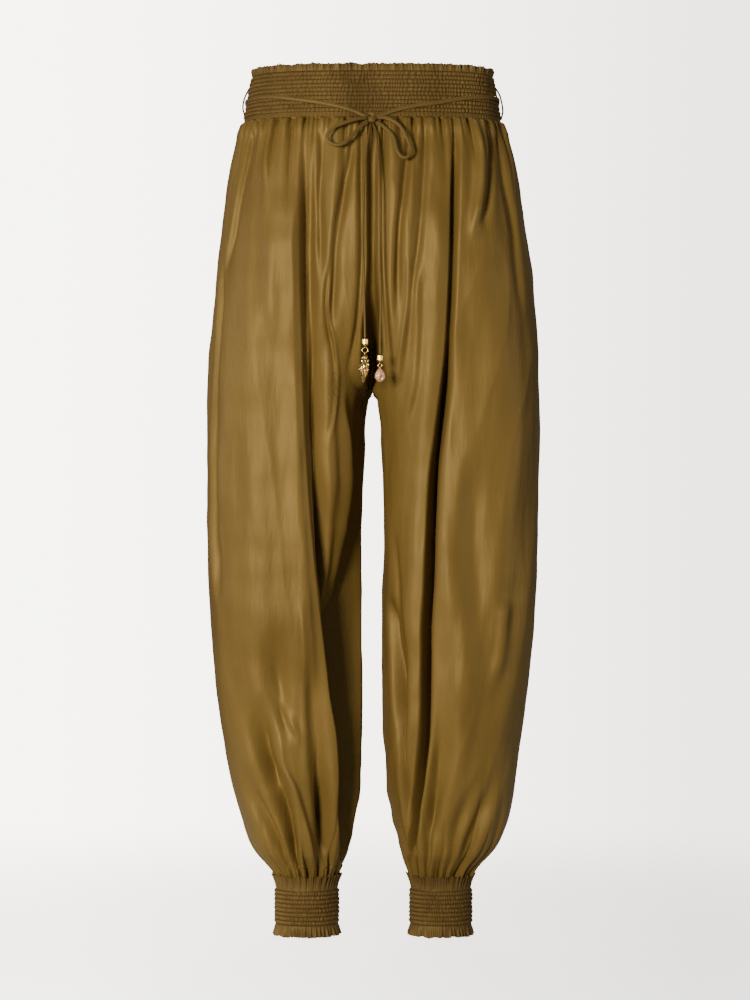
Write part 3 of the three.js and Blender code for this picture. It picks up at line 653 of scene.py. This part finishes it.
# The creases of each panel: height out of the cloth, how far each spreads towards the side
# seam and towards the middle, how far the cloth on its inner side is sunk, and its path as (z, x).
FRONT_LEFT = [
    (-16, 3.5, 10, -5, [
        (-92, 80), (-162, 80), (-316, 78), (-398, 76), (-493, 71), (-587, 63), (-682, 53),
        (-745, 46), (-800, 39), (-850, 37), (-960, 37)]),
    (0, 3, 3, -8, LEFT_FOLD),
    (0, 3, 3, -12, [(-500, 70), *LEFT_FOLD[3:]]),
    (0, 3, 3, -18, [(-560, 65), *LEFT_FOLD[4:]]),
    (0, 3, 3, -26, [(-640, 59), *LEFT_FOLD[4:]]),
    (5, 17, 6, 0, [(-130, 95), (-316, 93), (-493, 87), (-682, 74), (-860, 58)]),
    (9, 10, 12, 0, [(-330, 50), (-400, 50), (-480, 47), (-560, 42), (-680, 34)]),
    (12, 19, 8, 0, [(-390, 28), (-440, 25), (-520, 22), (-640, 20), (-720, 19)]),
    (4, 26, 26, 0, [(-240, 124), (-400, 128), (-560, 122), (-700, 108)]),
    (-8, 4, 5, 0, [(-68, 12), (-130, 13), (-220, 12), (-300, 15), (-372, 24)]),
    (-7, 3.5, 6, 0, [(-68, 22), (-110, 26), (-150, 34), (-200, 42), (-330, 50)]),
    (-6, 4, 5, 0, [(-68, 60), (-110, 60), (-160, 62), (-250, 60)]),
    (2.6, 2, 2.4, 0, [
        (-235, 47), (-287, 51), (-310, 49), (-334, 43), (-381, 38), (-415, 42), (-450, 50)]),
    (-2.8, 2.4, 2, 0, [
        (-240, 51), (-287, 55), (-310, 53), (-334, 47), (-381, 42), (-415, 46), (-440, 52)]),
    (-7, 4, 8, 0, [(-230, 176), (-330, 186), (-420, 190), (-520, 190), (-640, 184)]),
    (4, 5, 6, 0, [(-640, 84), (-690, 82), (-760, 80), (-850, 78)]),
    (4, 3, 5, 0, [(-742, 113), (-770, 102), (-796, 88)]),
    (-12, 9, 10, 0, [(-680, 118), (-730, 112), (-790, 104)]),
    (9, 6, 3, 0, [(-780, 110), (-823, 107), (-859, 92), (-890, 83), (-920, 76), (-955, 70)]),
    (-24, 10, 8, 0, [(-755, 136), (-800, 130), (-850, 119)]),
    (-25, 9, 5, 0, [(-820, 118), (-870, 106), (-910, 96), (-955, 90)]),
    (-22, 11, 6, 0, [(-690, 74), (-760, 69), (-820, 62), (-880, 56), (-945, 53)]),
    (-7, 4, 7, 0, [(-850, 62), (-900, 58), (-950, 58)]),
    (-12, 7, 6, 0, [(-840, 148), (-870, 140), (-905, 124), (-950, 104)]),
    (-8, 3, 7, 0, [(-66, 143), (-120, 152), (-186, 163), (-240, 174)]),
    (4, 9, 9, 0, [(-84, 120), (-150, 122), (-240, 120), (-320, 116)]),
]
FRONT_RIGHT = [
    (-15, 4, 2, 0, [(-74, 97), (-162, 95), (-281, 91), (-375, 85), *RIGHT_FOLD]),
    (-25, 7, 2, 0, [(-330, 89), *RIGHT_FOLD]),
    (4.5, 3, 3, 0, [(-235, 43), (-281, 41), (-316, 37), (-363, 32), (-400, 30)]),
    (4, 12, 12, 0, [
        (-130, 80), (-281, 74), (-434, 61), (-552, 51), (-672, 46), (-774, 44), (-860, 40)]),
    (7, 22, 20, 0, [
        (-420, 100), (-500, 98), (-600, 92), (-680, 102), (-740, 107), (-800, 102), (-850, 95),
        (-900, 90)]),
    (-8, 4, 5, 0, [(-68, 11), (-130, 12), (-220, 12), (-300, 15), (-372, 22)]),
    (-8, 5, 3.5, 0, [(-68, 46), (-100, 42), (-150, 36), (-200, 31), (-300, 28)]),
    (-6, 4, 5, 0, [(-68, 62), (-130, 60), (-190, 56), (-280, 46)]),
    (4, 4, 6, 0, [(-240, 52), (-300, 52), (-370, 50), (-430, 40)]),
    (8, 7, 5, 0, [(-74, 120), (-110, 126), (-150, 124), (-200, 118)]),
    (-8, 5, 4, 0, [(-68, 132), (-100, 140), (-140, 138), (-190, 130)]),
    (-6, 6, 8, 0, [(-68, 148), (-130, 157), (-200, 168), (-290, 176)]),
    (-4, 12, 14, 0, [(-470, 122), (-560, 118), (-640, 122), (-700, 122)]),
    (-15, 10, 7, 0, [(-640, 22), (-705, 26), (-790, 32)]),
    (6, 9, 8, 0, [(-640, 156), (-690, 152), (-730, 144)]),
    (-12, 9, 7, 0, [(-760, 84), (-810, 80), (-860, 74), (-910, 66)]),
    (-6, 6, 8, 0, [(-790, 92), (-840, 86), (-880, 76), (-930, 72)]),
    (-8, 4, 6, 0, [(-850, 66), (-890, 68), (-920, 66), (-950, 68)]),
    (-7, 6, 7, 0, [(-850, 120), (-890, 106), (-930, 96), (-955, 92)]),
    (-7, 8, 7, 0, [(-820, 152), (-870, 138), (-920, 118), (-948, 108)]),
    (-5, 5, 6, 0, [(-560, 26), (-640, 32), (-720, 38), (-800, 38)]),
    (-10, 4, 5, 0, [(-690, 30), (-760, 34), (-820, 37), (-910, 44)]),
]
BACK_LEFT = [
    (-18, 5, 9, 0, [
        (-76, 88), (-200, 91), (-300, 92), (-480, 84), (-690, 70), (-830, 58), (-930, 52)]),
    (6, 16, 12, 0, [(-160, 112), (-360, 116), (-560, 108), (-760, 92)]),
    (-8, 6, 8, 0, [(-68, 30), (-130, 34), (-200, 38), (-330, 44)]),
    (-6, 5, 4, 0, [(-68, 56), (-140, 58), (-220, 64)]),
    (-7, 6, 7, 0, [(-68, 128), (-140, 138), (-240, 146)]),
    (-7, 8, 6, 0, [(-640, 138), (-740, 122), (-850, 98), (-934, 80)]),
    (-7, 6, 8, 0, [(-740, 110), (-800, 96), (-870, 88), (-940, 84)]),
    (-6, 5, 6, 0, [(-560, 36), (-700, 34), (-840, 38), (-930, 56)]),
    (4, 20, 20, 0, [(-300, 150), (-460, 156), (-620, 150)]),
]
BACK_RIGHT = [
    (-19, 5, 7, 0, [
        (-74, 76), (-180, 78), (-280, 80), (-470, 88), (-690, 78), (-840, 64), (-930, 56)]),
    (6, 14, 15, 0, [(-170, 104), (-380, 112), (-580, 106), (-780, 88)]),
    (-8, 7, 8, 0, [(-68, 26), (-120, 28), (-190, 30), (-320, 38)]),
    (-6, 4, 5, 0, [(-68, 52), (-130, 50), (-210, 54)]),
    (-7, 7, 8, 0, [(-68, 126), (-200, 138), (-380, 150)]),
    (-7, 6, 9, 0, [(-660, 134), (-760, 116), (-880, 92), (-936, 80)]),
    (-7, 7, 6, 0, [(-760, 142), (-830, 128), (-890, 108), (-942, 96)]),
    (-7, 5, 7, 0, [(-600, 40), (-740, 40), (-880, 44), (-935, 58)]),
    (4, 20, 20, 0, [(-320, 146), (-480, 154), (-640, 146)]),
]
CREASES = dict(
    front_left=FRONT_LEFT, front_right=FRONT_RIGHT, back_left=BACK_LEFT, back_right=BACK_RIGHT
)
# Creases shorter than this that start below this height are those of the calf.
LONG_CREASE, CALF_Z = 330, -640
# How far a crease reaches past the ends of its path.
ABOVE_CREASE, BELOW_CREASE = 14, 20
WAIST_GATHERS = 16
CUFF_GATHERS = 11
# Sets of gathers, coarse to fine: how many to one of the count, their height and their length.
GATHER_SETS = [(1, 5.0, 60), (2, 2.8, 24), (3, 2.3, 12)]


def crease(leg, share, z, entry):
    """How far one listed crease moves the cloth out. It fades at both ends. Those of the calf fade in
    more slowly and are wider at the top."""
    height, outwards, inwards, step, path = entry
    x = by_height(path, z)
    distance = (share - leg.share_at(x)) * leg.arc
    top, foot = path[0][0], path[-1][0]
    long = top - foot
    low = long < LONG_CREASE and top < CALF_Z
    fade_in = 0.5 * long if low else min(0.16 * long, 90)
    fade_out = min(0.26 * long, 60)
    fade = smooth((top + ABOVE_CREASE - z) / (ABOVE_CREASE + fade_in))
    fade = fade * smooth((z - foot + BELOW_CREASE) / (BELOW_CREASE + fade_out))
    uneven = 1 + 0.22 * soft_noise(z / 70, x.mean() / 9, abs(foot))
    reach = np.where(distance < 0, outwards, inwards) * (1 + 0.6 * smooth((z - foot) / long) * low)
    sunk = step * smooth(distance / 7) * smooth((1 - share) * leg.arc / 30)
    return fade * uneven * (height * bell(distance, reach) + sunk)


def gather_waves(share, away, count, start, size, seed):
    """Uneven gathers that run from a sewn edge: each has its own place, width, height, length and
    drift, and between them lie narrow dips. Finer ones lie between them next to the edge."""
    rng = np.random.default_rng(seed)
    height = np.zeros(np.broadcast(share, away).shape)
    for times, wave_size, long in GATHER_SETS:
        number = times * count
        pitch = 1 / number
        height -= 0.5 * wave_size * np.exp(-away / long)
        for k in range(number):
            place = (k + 0.5 + rng.uniform(-0.24, 0.24)) * pitch
            drift = rng.uniform(-0.5, 0.5) * pitch
            strong = wave_size * rng.uniform(0.55, 1.35)
            reach = long * rng.uniform(0.55, 1.7)
            wide = pitch * rng.uniform(0.26, 0.4) * (1 + away / (2.6 * long))
            centre = place + drift * smooth(away / (3 * long))
            height += strong * np.exp(-away / reach) * bell(share - centre, wide)
            pinch = place + pitch * rng.uniform(0.4, 0.6)
            height -= 1.2 * strong * np.exp(-away / (0.4 * reach)) * bell(share - pinch, 0.12 * pitch)
    return size * (1 - np.exp(-away / start)) * height


def drape(leg, share, z, seed):
    """Soft long undulations down the cloth and faint puckers across it."""
    along = share * leg.arc
    long = 1 - 2 * np.abs(soft_noise(along / 46 + 0.002 * z, z / 210, seed))
    soft = soft_noise(along / 30 + seed, z / 120, seed + 1)
    small = soft_noise(along / 13, z / 60 + seed, seed + 2)
    cross = soft_noise(along / 50, z / 30, seed + 3)
    return 1.4 * long + 1.7 * soft + 0.6 * small + 0.5 * cross


# Columns and rows of a panel, and how much its rows crowd towards its ends.
PANEL_ACROSS, PANEL_DOWN = 210, 330
CROWDED_ENDS = 0.105
# The fold beside the rise seam: height, depth and width.
RISE_FOLD = [
    (-64, 0, 4), (-90, 6, 5), (-150, 12, 5), (-230, 15, 5), (-275, 22, 6), (-310, 45, 8), (-350, 60, 10),
    (-386, 60, 11),
]


def panel_heights():
    """Heights of a panel's rows, closer together near its gathered ends."""
    t = np.linspace(0, 1, PANEL_DOWN)
    eased_t = t - CROWDED_ENDS * np.sin(2 * math.pi * t)
    top, foot = WAIST_SEAM_Z + TUCKED_IN_WAIST, LEG_END_Z - TUCKED_IN_CUFF
    return (top + (foot - top) * eased_t)[:, None]


def bunched(middles, extra, width):
    """Places from 0 to 1 for each row, closer together beside that row's own middle and beside the
    inner seam."""
    fine = np.linspace(0, 1, 700)[None]
    crowd = np.cumsum(1 + extra * bell(fine - middles, width) + extra * bell(fine - 1, width), axis=1)
    crowd = (crowd - crowd[:, :1]) / (crowd[:, -1:] - crowd[:, :1])
    even = np.linspace(0, 1, PANEL_ACROSS)
    return np.stack([np.interp(even, row, fine[0]) for row in crowd])


def rise_fold(z, left_over):
    """How far the cloth beside the rise seam folds in, deepest above the crotch."""
    deep, wide = by_height(RISE_FOLD, z, 1), by_height(RISE_FOLD, z, 2)
    return deep * np.exp(-((left_over / wide) ** 4)) * smooth((z - CROTCH_Z + 30) / 30)


def panel_points(name, seed):
    """Rows of one leg panel: the leg's section with its creases, gathers and drape."""
    side = name.split("_")[1]
    front = name.startswith("front")
    to_right = -1 if side == "left" else 1
    to_back = -1 if front else 1
    z = panel_heights()
    leg = Leg(side, z)
    main_path = CREASES[name][0][-1]
    fold = leg.share_at(by_height(main_path, z)) * leg.turn / leg.soft_turn
    share = leg.columns(bunched(fold, 2.0, 0.06))
    x, y, out_x, out_y = leg.bare(share)
    height = drape(leg, share, z, seed) * smooth((WAIST_SEAM_Z - z) / 90) * smooth((z - LEG_END_Z) / 90)
    for entry in CREASES[name]:
        height = height + crease(leg, share, z, entry)
    from_waist = np.maximum(0, WAIST_SEAM_Z - z)
    from_cuff = np.maximum(0, z - LEG_END_Z)
    height = height + gather_waves(share, from_waist, WAIST_GATHERS, start=1.0, size=1.0, seed=seed + 10)
    height = height + gather_waves(share, from_cuff, CUFF_GATHERS, start=7, size=1.7, seed=seed + 20)
    height = height - 2.6 * np.exp(-from_waist / 1.2) + 1.6 * bell(from_waist - 10, 9)
    height = height + 1.6 * smooth((LEG_END_Z - z) / TUCKED_IN_CUFF)
    left_over = (1 - share) * leg.arc
    seam = smooth(share * leg.arc / 8) * smooth(left_over / 8)
    height = height * seam - 0.6 * bell(share * leg.arc, 3)
    opened = 8 * smooth((CROTCH_Z - z) / 9) * (1 - smooth((CROTCH_Z - z) / 70)) * bell(left_over, 45)
    px = np.maximum(0, x + out_x * height + opened)
    folded = rise_fold(z, left_over) * (1 if front else 0.6)
    py = y + out_y * height
    py = np.maximum(0, py - np.minimum(folded, 0.75 * np.maximum(0, py)))
    return np.stack([to_right * px, to_back * py, np.broadcast_to(z, px.shape)], axis=-1)


# The four leg panels, each shown in place of its solid.
for number, name in enumerate(CREASES):
    front_or_back, side = name.split("_")
    points = panel_points(name, 5 + 7 * number)
    panel = rows_mesh(f"satin_leg_{front_or_back}_{side}", [(points, False)], SATIN)
    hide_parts(f"leg_{front_or_back}_{side}")


# The shirred rings: waistband and cuffs.
def ring_points(at, centre, half, depth, square, z, lift):
    """Points of level rings. at goes once round from +X towards the back."""
    x, y, out_x, out_y = oval(2 * math.pi * at, half, depth, square)
    px, py = centre + x + out_x * lift, y + out_y * lift
    return np.stack([px, py, np.broadcast_to(z, px.shape)], axis=-1)


def uneven_ripple(at, count, wander, level, seed):
    """A wave with count crests round a ring whose crests wander and differ in height. Each level of
    the ring can have its own."""
    shift = wander * soft_noise(at * count / 5, level, seed)
    strength = 0.8 + 0.35 * soft_noise(at * count / 3, level + 9, seed + 1)
    return strength * np.sin(2 * math.pi * (count * at + shift))


def shirred(at, z, first, step, count, waves, puff, seed):
    """How far shirred cloth stands out: it is drawn in along each stitched row, and between two rows
    it puffs out in narrow upright ripples that shift a little from row to row."""
    level = (first - z) / step
    between = np.abs(np.sin(math.pi * np.clip(level, 0, count - 1))) ** 0.5
    row = np.floor(level) * 0.7
    ripple = uneven_ripple(at, waves, 1.5, row, seed)
    big = 0.5 + 0.7 * soft_noise(at * waves / 5, row + 3, seed + 2)
    fold = 0.75 * ripple * np.abs(soft_noise(at * waves / 2.6, row + 5, seed + 3)) + 0.26 * ripple
    return puff * between * (0.56 + fold + 0.4 * big) + 0.15 * ripple


def row_wander(at, z, seed):
    """Small rises and drops of the stitched rows."""
    return 0.45 * soft_noise(at * 70, z / 9, seed)


WAIST_WAVES, WAIST_COLUMNS, WAIST_LINING_COLUMNS = 225, 1240, 380
CUFF_WAVES, CUFF_COLUMNS, CUFF_LINING_COLUMNS = 70, 400, 180
HEADING_TOP_Z, HEM_Z = -968, -1041


def waist_size(z):
    """The waist's ring at each height: it widens downwards."""
    down = np.clip(z / WAIST_SEAM_Z, 0, 1)
    return dict(centre=0, half=143 + 11.5 * down, depth=89 + 10.5 * down, square=3.2)


def band_levels(first, step, count, fine):
    """Heights of the rows of points of a shirred band, fine of them to each step."""
    return first - np.linspace(0, count - 1, (count - 1) * fine + 1) * step


def frill(at, along, waves, swing, flare, ragged, seed):
    """Lift and drop of a ruffled edge. along goes from 0 where it is sewn to 1 at its free edge."""
    wave = uneven_ripple(at, waves, 1.6, 0, seed)
    small = uneven_ripple(at, round(2.3 * waves), 1.4, 0, seed + 5)
    torn = soft_noise(at * waves * 0.8, 0, seed + 7)
    lift = flare * along + swing * along * wave + 0.7 * swing * along * small
    drop = ragged * along * (0.5 * wave * small + 0.9 * torn)
    return lift, drop


def waistband_parts():
    """The band from its frill down to its foot, and the inner layer behind it."""
    at = np.linspace(0, 1, WAIST_COLUMNS, endpoint=False)[None]
    along = np.linspace(1, 0, 8)[:, None]
    lift, drop = frill(at, along, waves=84, swing=2.2, flare=1.4, ragged=1.9, seed=31)
    z = WAIST_FIRST_Z * (1 - along) + drop
    ripple = 0.25 * uneven_ripple(at, WAIST_WAVES, 0.35, 0, 40)
    top = ring_points(at, **waist_size(z), z=z, lift=lift + ripple * (1 - along))
    levels = band_levels(*WAIST_STITCHING, fine=5)[1:, None]
    lift = shirred(at, levels, *WAIST_STITCHING, WAIST_WAVES, puff=1.9, seed=40)
    body = ring_points(at, **waist_size(levels), z=levels + row_wander(at, levels, 41), lift=lift)
    foot = np.linspace(levels[-1, 0], WAIST_SEAM_Z + 0.2, 5)[1:, None]
    edge = 0.5 + 0.5 * uneven_ripple(at, WAIST_WAVES, 0.35, 0, 47)
    end = ring_points(at, **waist_size(foot), z=foot, lift=edge * smooth((levels[-1, 0] - foot) / 3))
    lining_z = np.linspace(WAIST_FIRST_Z, WAIST_SEAM_Z + 0.2, 12)[:, None]
    lining_at = np.linspace(0, 1, WAIST_LINING_COLUMNS, endpoint=False)[None]
    pleats = 0.35 * uneven_ripple(lining_at, 90, 0.4, np.floor(lining_z / 5), 44)
    lining = ring_points(lining_at, **waist_size(lining_z), z=lining_z, lift=pleats - 1.0)
    return [(np.concatenate([top, body, end]), True), (lining, True)]


# Middle and half width of each cuff.
CUFFS = {"left": (-79.5, 37.5), "right": (82.5, 36.5)}


def cuff_parts(side):
    """A cuff from its heading down to its ruffled hem, and the inner layer behind it."""
    centre, half = CUFFS[side]
    seed = 60 if side == "left" else 80
    size = dict(centre=centre, half=half, depth=half + 0.8, square=2.1)
    at = np.linspace(0, 1, CUFF_COLUMNS, endpoint=False)[None]
    along = np.linspace(1, 0, 14)[:, None]
    lift, drop = frill(at, along, waves=34, swing=2.2, flare=3.8, ragged=2.2, seed=seed)
    z = CUFF_FIRST_Z + (HEADING_TOP_Z - CUFF_FIRST_Z) * along + drop
    curl = 0.9 * np.sin(math.pi * along)
    heading = ring_points(at, **size, z=z, lift=lift - curl * 1.2)
    levels = band_levels(*CUFF_STITCHING, fine=6)[1:, None]
    lift = shirred(at, levels, *CUFF_STITCHING, CUFF_WAVES, puff=1.7, seed=seed + 4)
    body = ring_points(at, **size, z=levels + row_wander(at, levels, seed + 6), lift=lift)
    down = np.linspace(0, 1, 12)[1:, None]
    lift, drop = frill(at, down, waves=30, swing=2.0, flare=1.8, ragged=1.5, seed=seed + 9)
    z = levels[-1, 0] + (HEM_Z - levels[-1, 0]) * down + drop
    hem = ring_points(at, **size, z=z, lift=lift + 0.3)
    lining_z = np.linspace(CUFF_FIRST_Z, levels[-1, 0], 10)[:, None]
    lining_at = np.linspace(0, 1, CUFF_LINING_COLUMNS, endpoint=False)[None]
    pleats = 0.3 * uneven_ripple(lining_at, 36, 0.4, np.floor(lining_z / 5), seed + 2)
    lining = ring_points(lining_at, **size, z=lining_z, lift=pleats - 0.8)
    return [(np.concatenate([heading, body, hem]), True), (lining, True)]


# The shirred waistband and the two cuffs, each shown in place of its solid.
waistband = rows_mesh("shirred_waistband", waistband_parts(), SHIRRED_WAIST_SHADED)
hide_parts("waistband")
for side in CUFFS:
    cuff = rows_mesh(f"shirred_cuff_{side}", cuff_parts(side), SHIRRED_CUFF_SHADED)
    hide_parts(f"cuff_{side}")


# The tie round the waistband, its knot, and the thread carriers.
TIE_WIDE, TIE_THICK, TIE_LIFT, TIE_BACK_Z = 5, 2, 3.1, -38
# Heights of the tie across the front, as (x, z).
TIE_HEIGHTS = [
    (-150, -39), (-129, -38.5), (-85, -44), (-50, -50), (-24, -57), (0, -66),
    (24, -58), (43, -53), (79, -47), (115, -40), (150, -36),
]
TIE_END = 0.004


def tie_line():
    """The tie's way round the waist from the knot and back to it, and the way out at each point."""
    at = 0.75 + np.linspace(TIE_END, 1 - TIE_END, 400)
    size = waist_size(np.full_like(at, TIE_BACK_Z))
    rough = ring_points(at, **size, z=0, lift=0)
    across, heights = zip(*TIE_HEIGHTS)
    back = smooth((rough[:, 1] + 40) / 80)
    z = eased(rough[:, 0], across, heights) * (1 - back) + TIE_BACK_Z * back
    line = ring_points(at, **waist_size(z), z=z, lift=TIE_LIFT)
    inside = ring_points(at, **waist_size(z), z=z, lift=0)
    return line, line - inside


line, out = tie_line()
tie = rows_mesh("tie_rouleau", [(rouleau(line, TIE_WIDE, TIE_THICK, out, 12), True)], TIE_SATIN)
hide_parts("tie_round_waist")

CARRIER_WIDE = 2.2
CARRIERS = {
    "left": [
        (-147.8, -14, -19.3), (-152.6, -14, -28), (-155.3, -14, -36), (-156.2, -14, -44),
        (-154, -14, -53.6),
    ],
    "right": [
        (147.8, -14, -19.3), (152.6, -14, -27), (155.4, -14, -36), (157, -14, -48),
        (154.8, -14, -58.4),
    ],
}
for side, points in CARRIERS.items():
    line = route(points, 60)
    rows = strand(line, CARRIER_WIDE, CARRIER_WIDE, 12, FRONT)
    carrier = rows_mesh(f"twisted_carrier_{side}", [(rows, True)], THREAD)
    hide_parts(f"thread_carrier_{side}")


def knot_shape(x, y, z, turn):
    """Two wraps of the rouleau cross the front of the knot."""
    wraps = 0.09 * np.sin(z * 1.5 + 1.2 * np.cos(turn)) + 0.05 * np.sin(2 * turn + z)
    return 0.9 * x * (1 + wraps), 0.58 * y * (1 + wraps), z


KNOT_PROFILE = [(4.3, 2.6), (2.6, 5), (0, 6), (-2.8, 4.9), (-4.9, 2.4)]
KNOT_TOP, KNOT_TALL = 4.5, 9.4
KNOT_AT = (-0.5, -107, -68.6)


def knot_rows():
    """Rows of the knot, rounded shut at its top and foot."""
    down = np.linspace(0, 1, 40)
    height = KNOT_TOP - KNOT_TALL * down
    shut = np.sqrt(np.clip(1 - (2 * down - 1) ** 8, 0, 1))
    radius = by_height(KNOT_PROFILE, height) * shut
    return lathe(np.stack([height, radius], axis=1), 48, knot_shape) + np.array(KNOT_AT)


knot = rows_mesh("knot_of_the_bow", [(knot_rows(), True)], TIE_SATIN)
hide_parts("tie_knot")


# Floor, world and light.
FLOOR_Z = -1043.5
FLOOR_INNER, FLOOR_EDGE = 400, 1500
FLOOR_FADE_START = 350
FLOOR_SHARE = 0.4
BACKDROP_LIGHT, ROOM_LIGHT = 7.4, 0.15


def add_floor():
    """A matt disk under the garment that fades out into the pale room."""
    material, tree, shader = start_material("pale_floor", Roughness=0.9, Specular_IOR_Level=0.1)
    shader.inputs["Base Color"].default_value = linear("e9e8e4")
    place = add_node(tree, "TexCoord").outputs["Object"]
    away = add_node(tree, "VectorMath", operation="LENGTH", Vector=place).outputs["Value"]
    fade = add_node(
        tree, "MapRange", interpolation_type="SMOOTHSTEP", Value=away, From_Min=FLOOR_FADE_START * MM,
        From_Max=FLOOR_EDGE * MM, To_Min=FLOOR_SHARE, To_Max=0.0,
    )
    tree.links.new(fade.outputs["Result"], shader.inputs["Alpha"])
    rows = lathe([(0, 0), (0, FLOOR_INNER), (0, FLOOR_EDGE)], 64)
    floor = rows_object("floor", [(rows, True)], material)
    floor.location.z = FLOOR_Z * MM


def add_world():
    """A pale studio, with painted shade that makes it a little darker on the right. What the camera sees
    of it is brighter than what lights the garment."""
    world = bpy.data.worlds.new("pale_studio")
    world.use_nodes = True
    tree = world.node_tree
    tree.nodes.clear()
    place = add_node(tree, "TexCoord").outputs["Generated"]
    across = add_node(tree, "SeparateXYZ", Vector=place).outputs["X"]
    spread = add_node(tree, "MapRange", Value=across, From_Min=-0.1, From_Max=0.1)
    # Painted shade: the backdrop's colour goes from pale on the left to darker on the right.
    shaded_backdrop = two_tone(tree, spread.outputs["Result"], "faf6ee", "bab7b0")
    seen = add_node(tree, "Background", Color=shaded_backdrop, Strength=BACKDROP_LIGHT)
    lit = add_node(tree, "Background", Color=linear("e6eaf0"), Strength=ROOM_LIGHT)
    camera_ray = add_node(tree, "LightPath").outputs["Is Camera Ray"]
    mix = tree.nodes.new("ShaderNodeMixShader")
    tree.links.new(camera_ray, mix.inputs[0])
    tree.links.new(lit.outputs[0], mix.inputs[1])
    tree.links.new(seen.outputs[0], mix.inputs[2])
    out = tree.nodes.new("ShaderNodeOutputWorld")
    tree.links.new(mix.outputs[0], out.inputs["Surface"])
    scene.world = world


def add_light(name, place, aim, size, power, colour):
    """A round soft lamp at a place, turned to an aim."""
    data = bpy.data.lights.new(name, "AREA")
    data.shape = "DISK"
    data.size = size
    data.energy = power
    data.color = linear(colour)[:3]
    lamp = bpy.data.objects.new(name, data)
    lamp.location = place
    lamp.rotation_euler = (Vector(aim) - Vector(place)).to_track_quat("-Z", "Y").to_euler()
    scene.collection.objects.link(lamp)


add_floor()
add_world()
add_light("key", (-1.75, -3.85, -0.1), (0, 0, -0.55), 1.3, 258, "fff6ea")
add_light("fill", (1.2, -4.0, -0.4), (0, 0, -0.6), 1.6, 7, "f2f5ff")
add_light("behind", (0.3, 3.9, 2.0), (0, 0, -0.5), 1.2, 190, "fff8ee")
add_light("left", (-3.4, -0.6, -0.1), (0, 0, -0.5), 1.2, 26, "ffffff")
add_light("right", (3.2, -1.2, -0.4), (0, 0, -0.6), 1.2, 24, "fff6ea")
add_light("top", (0.1, 0.3, 2.0), (0, 0, -0.3), 1.4, 14, "ffffff")
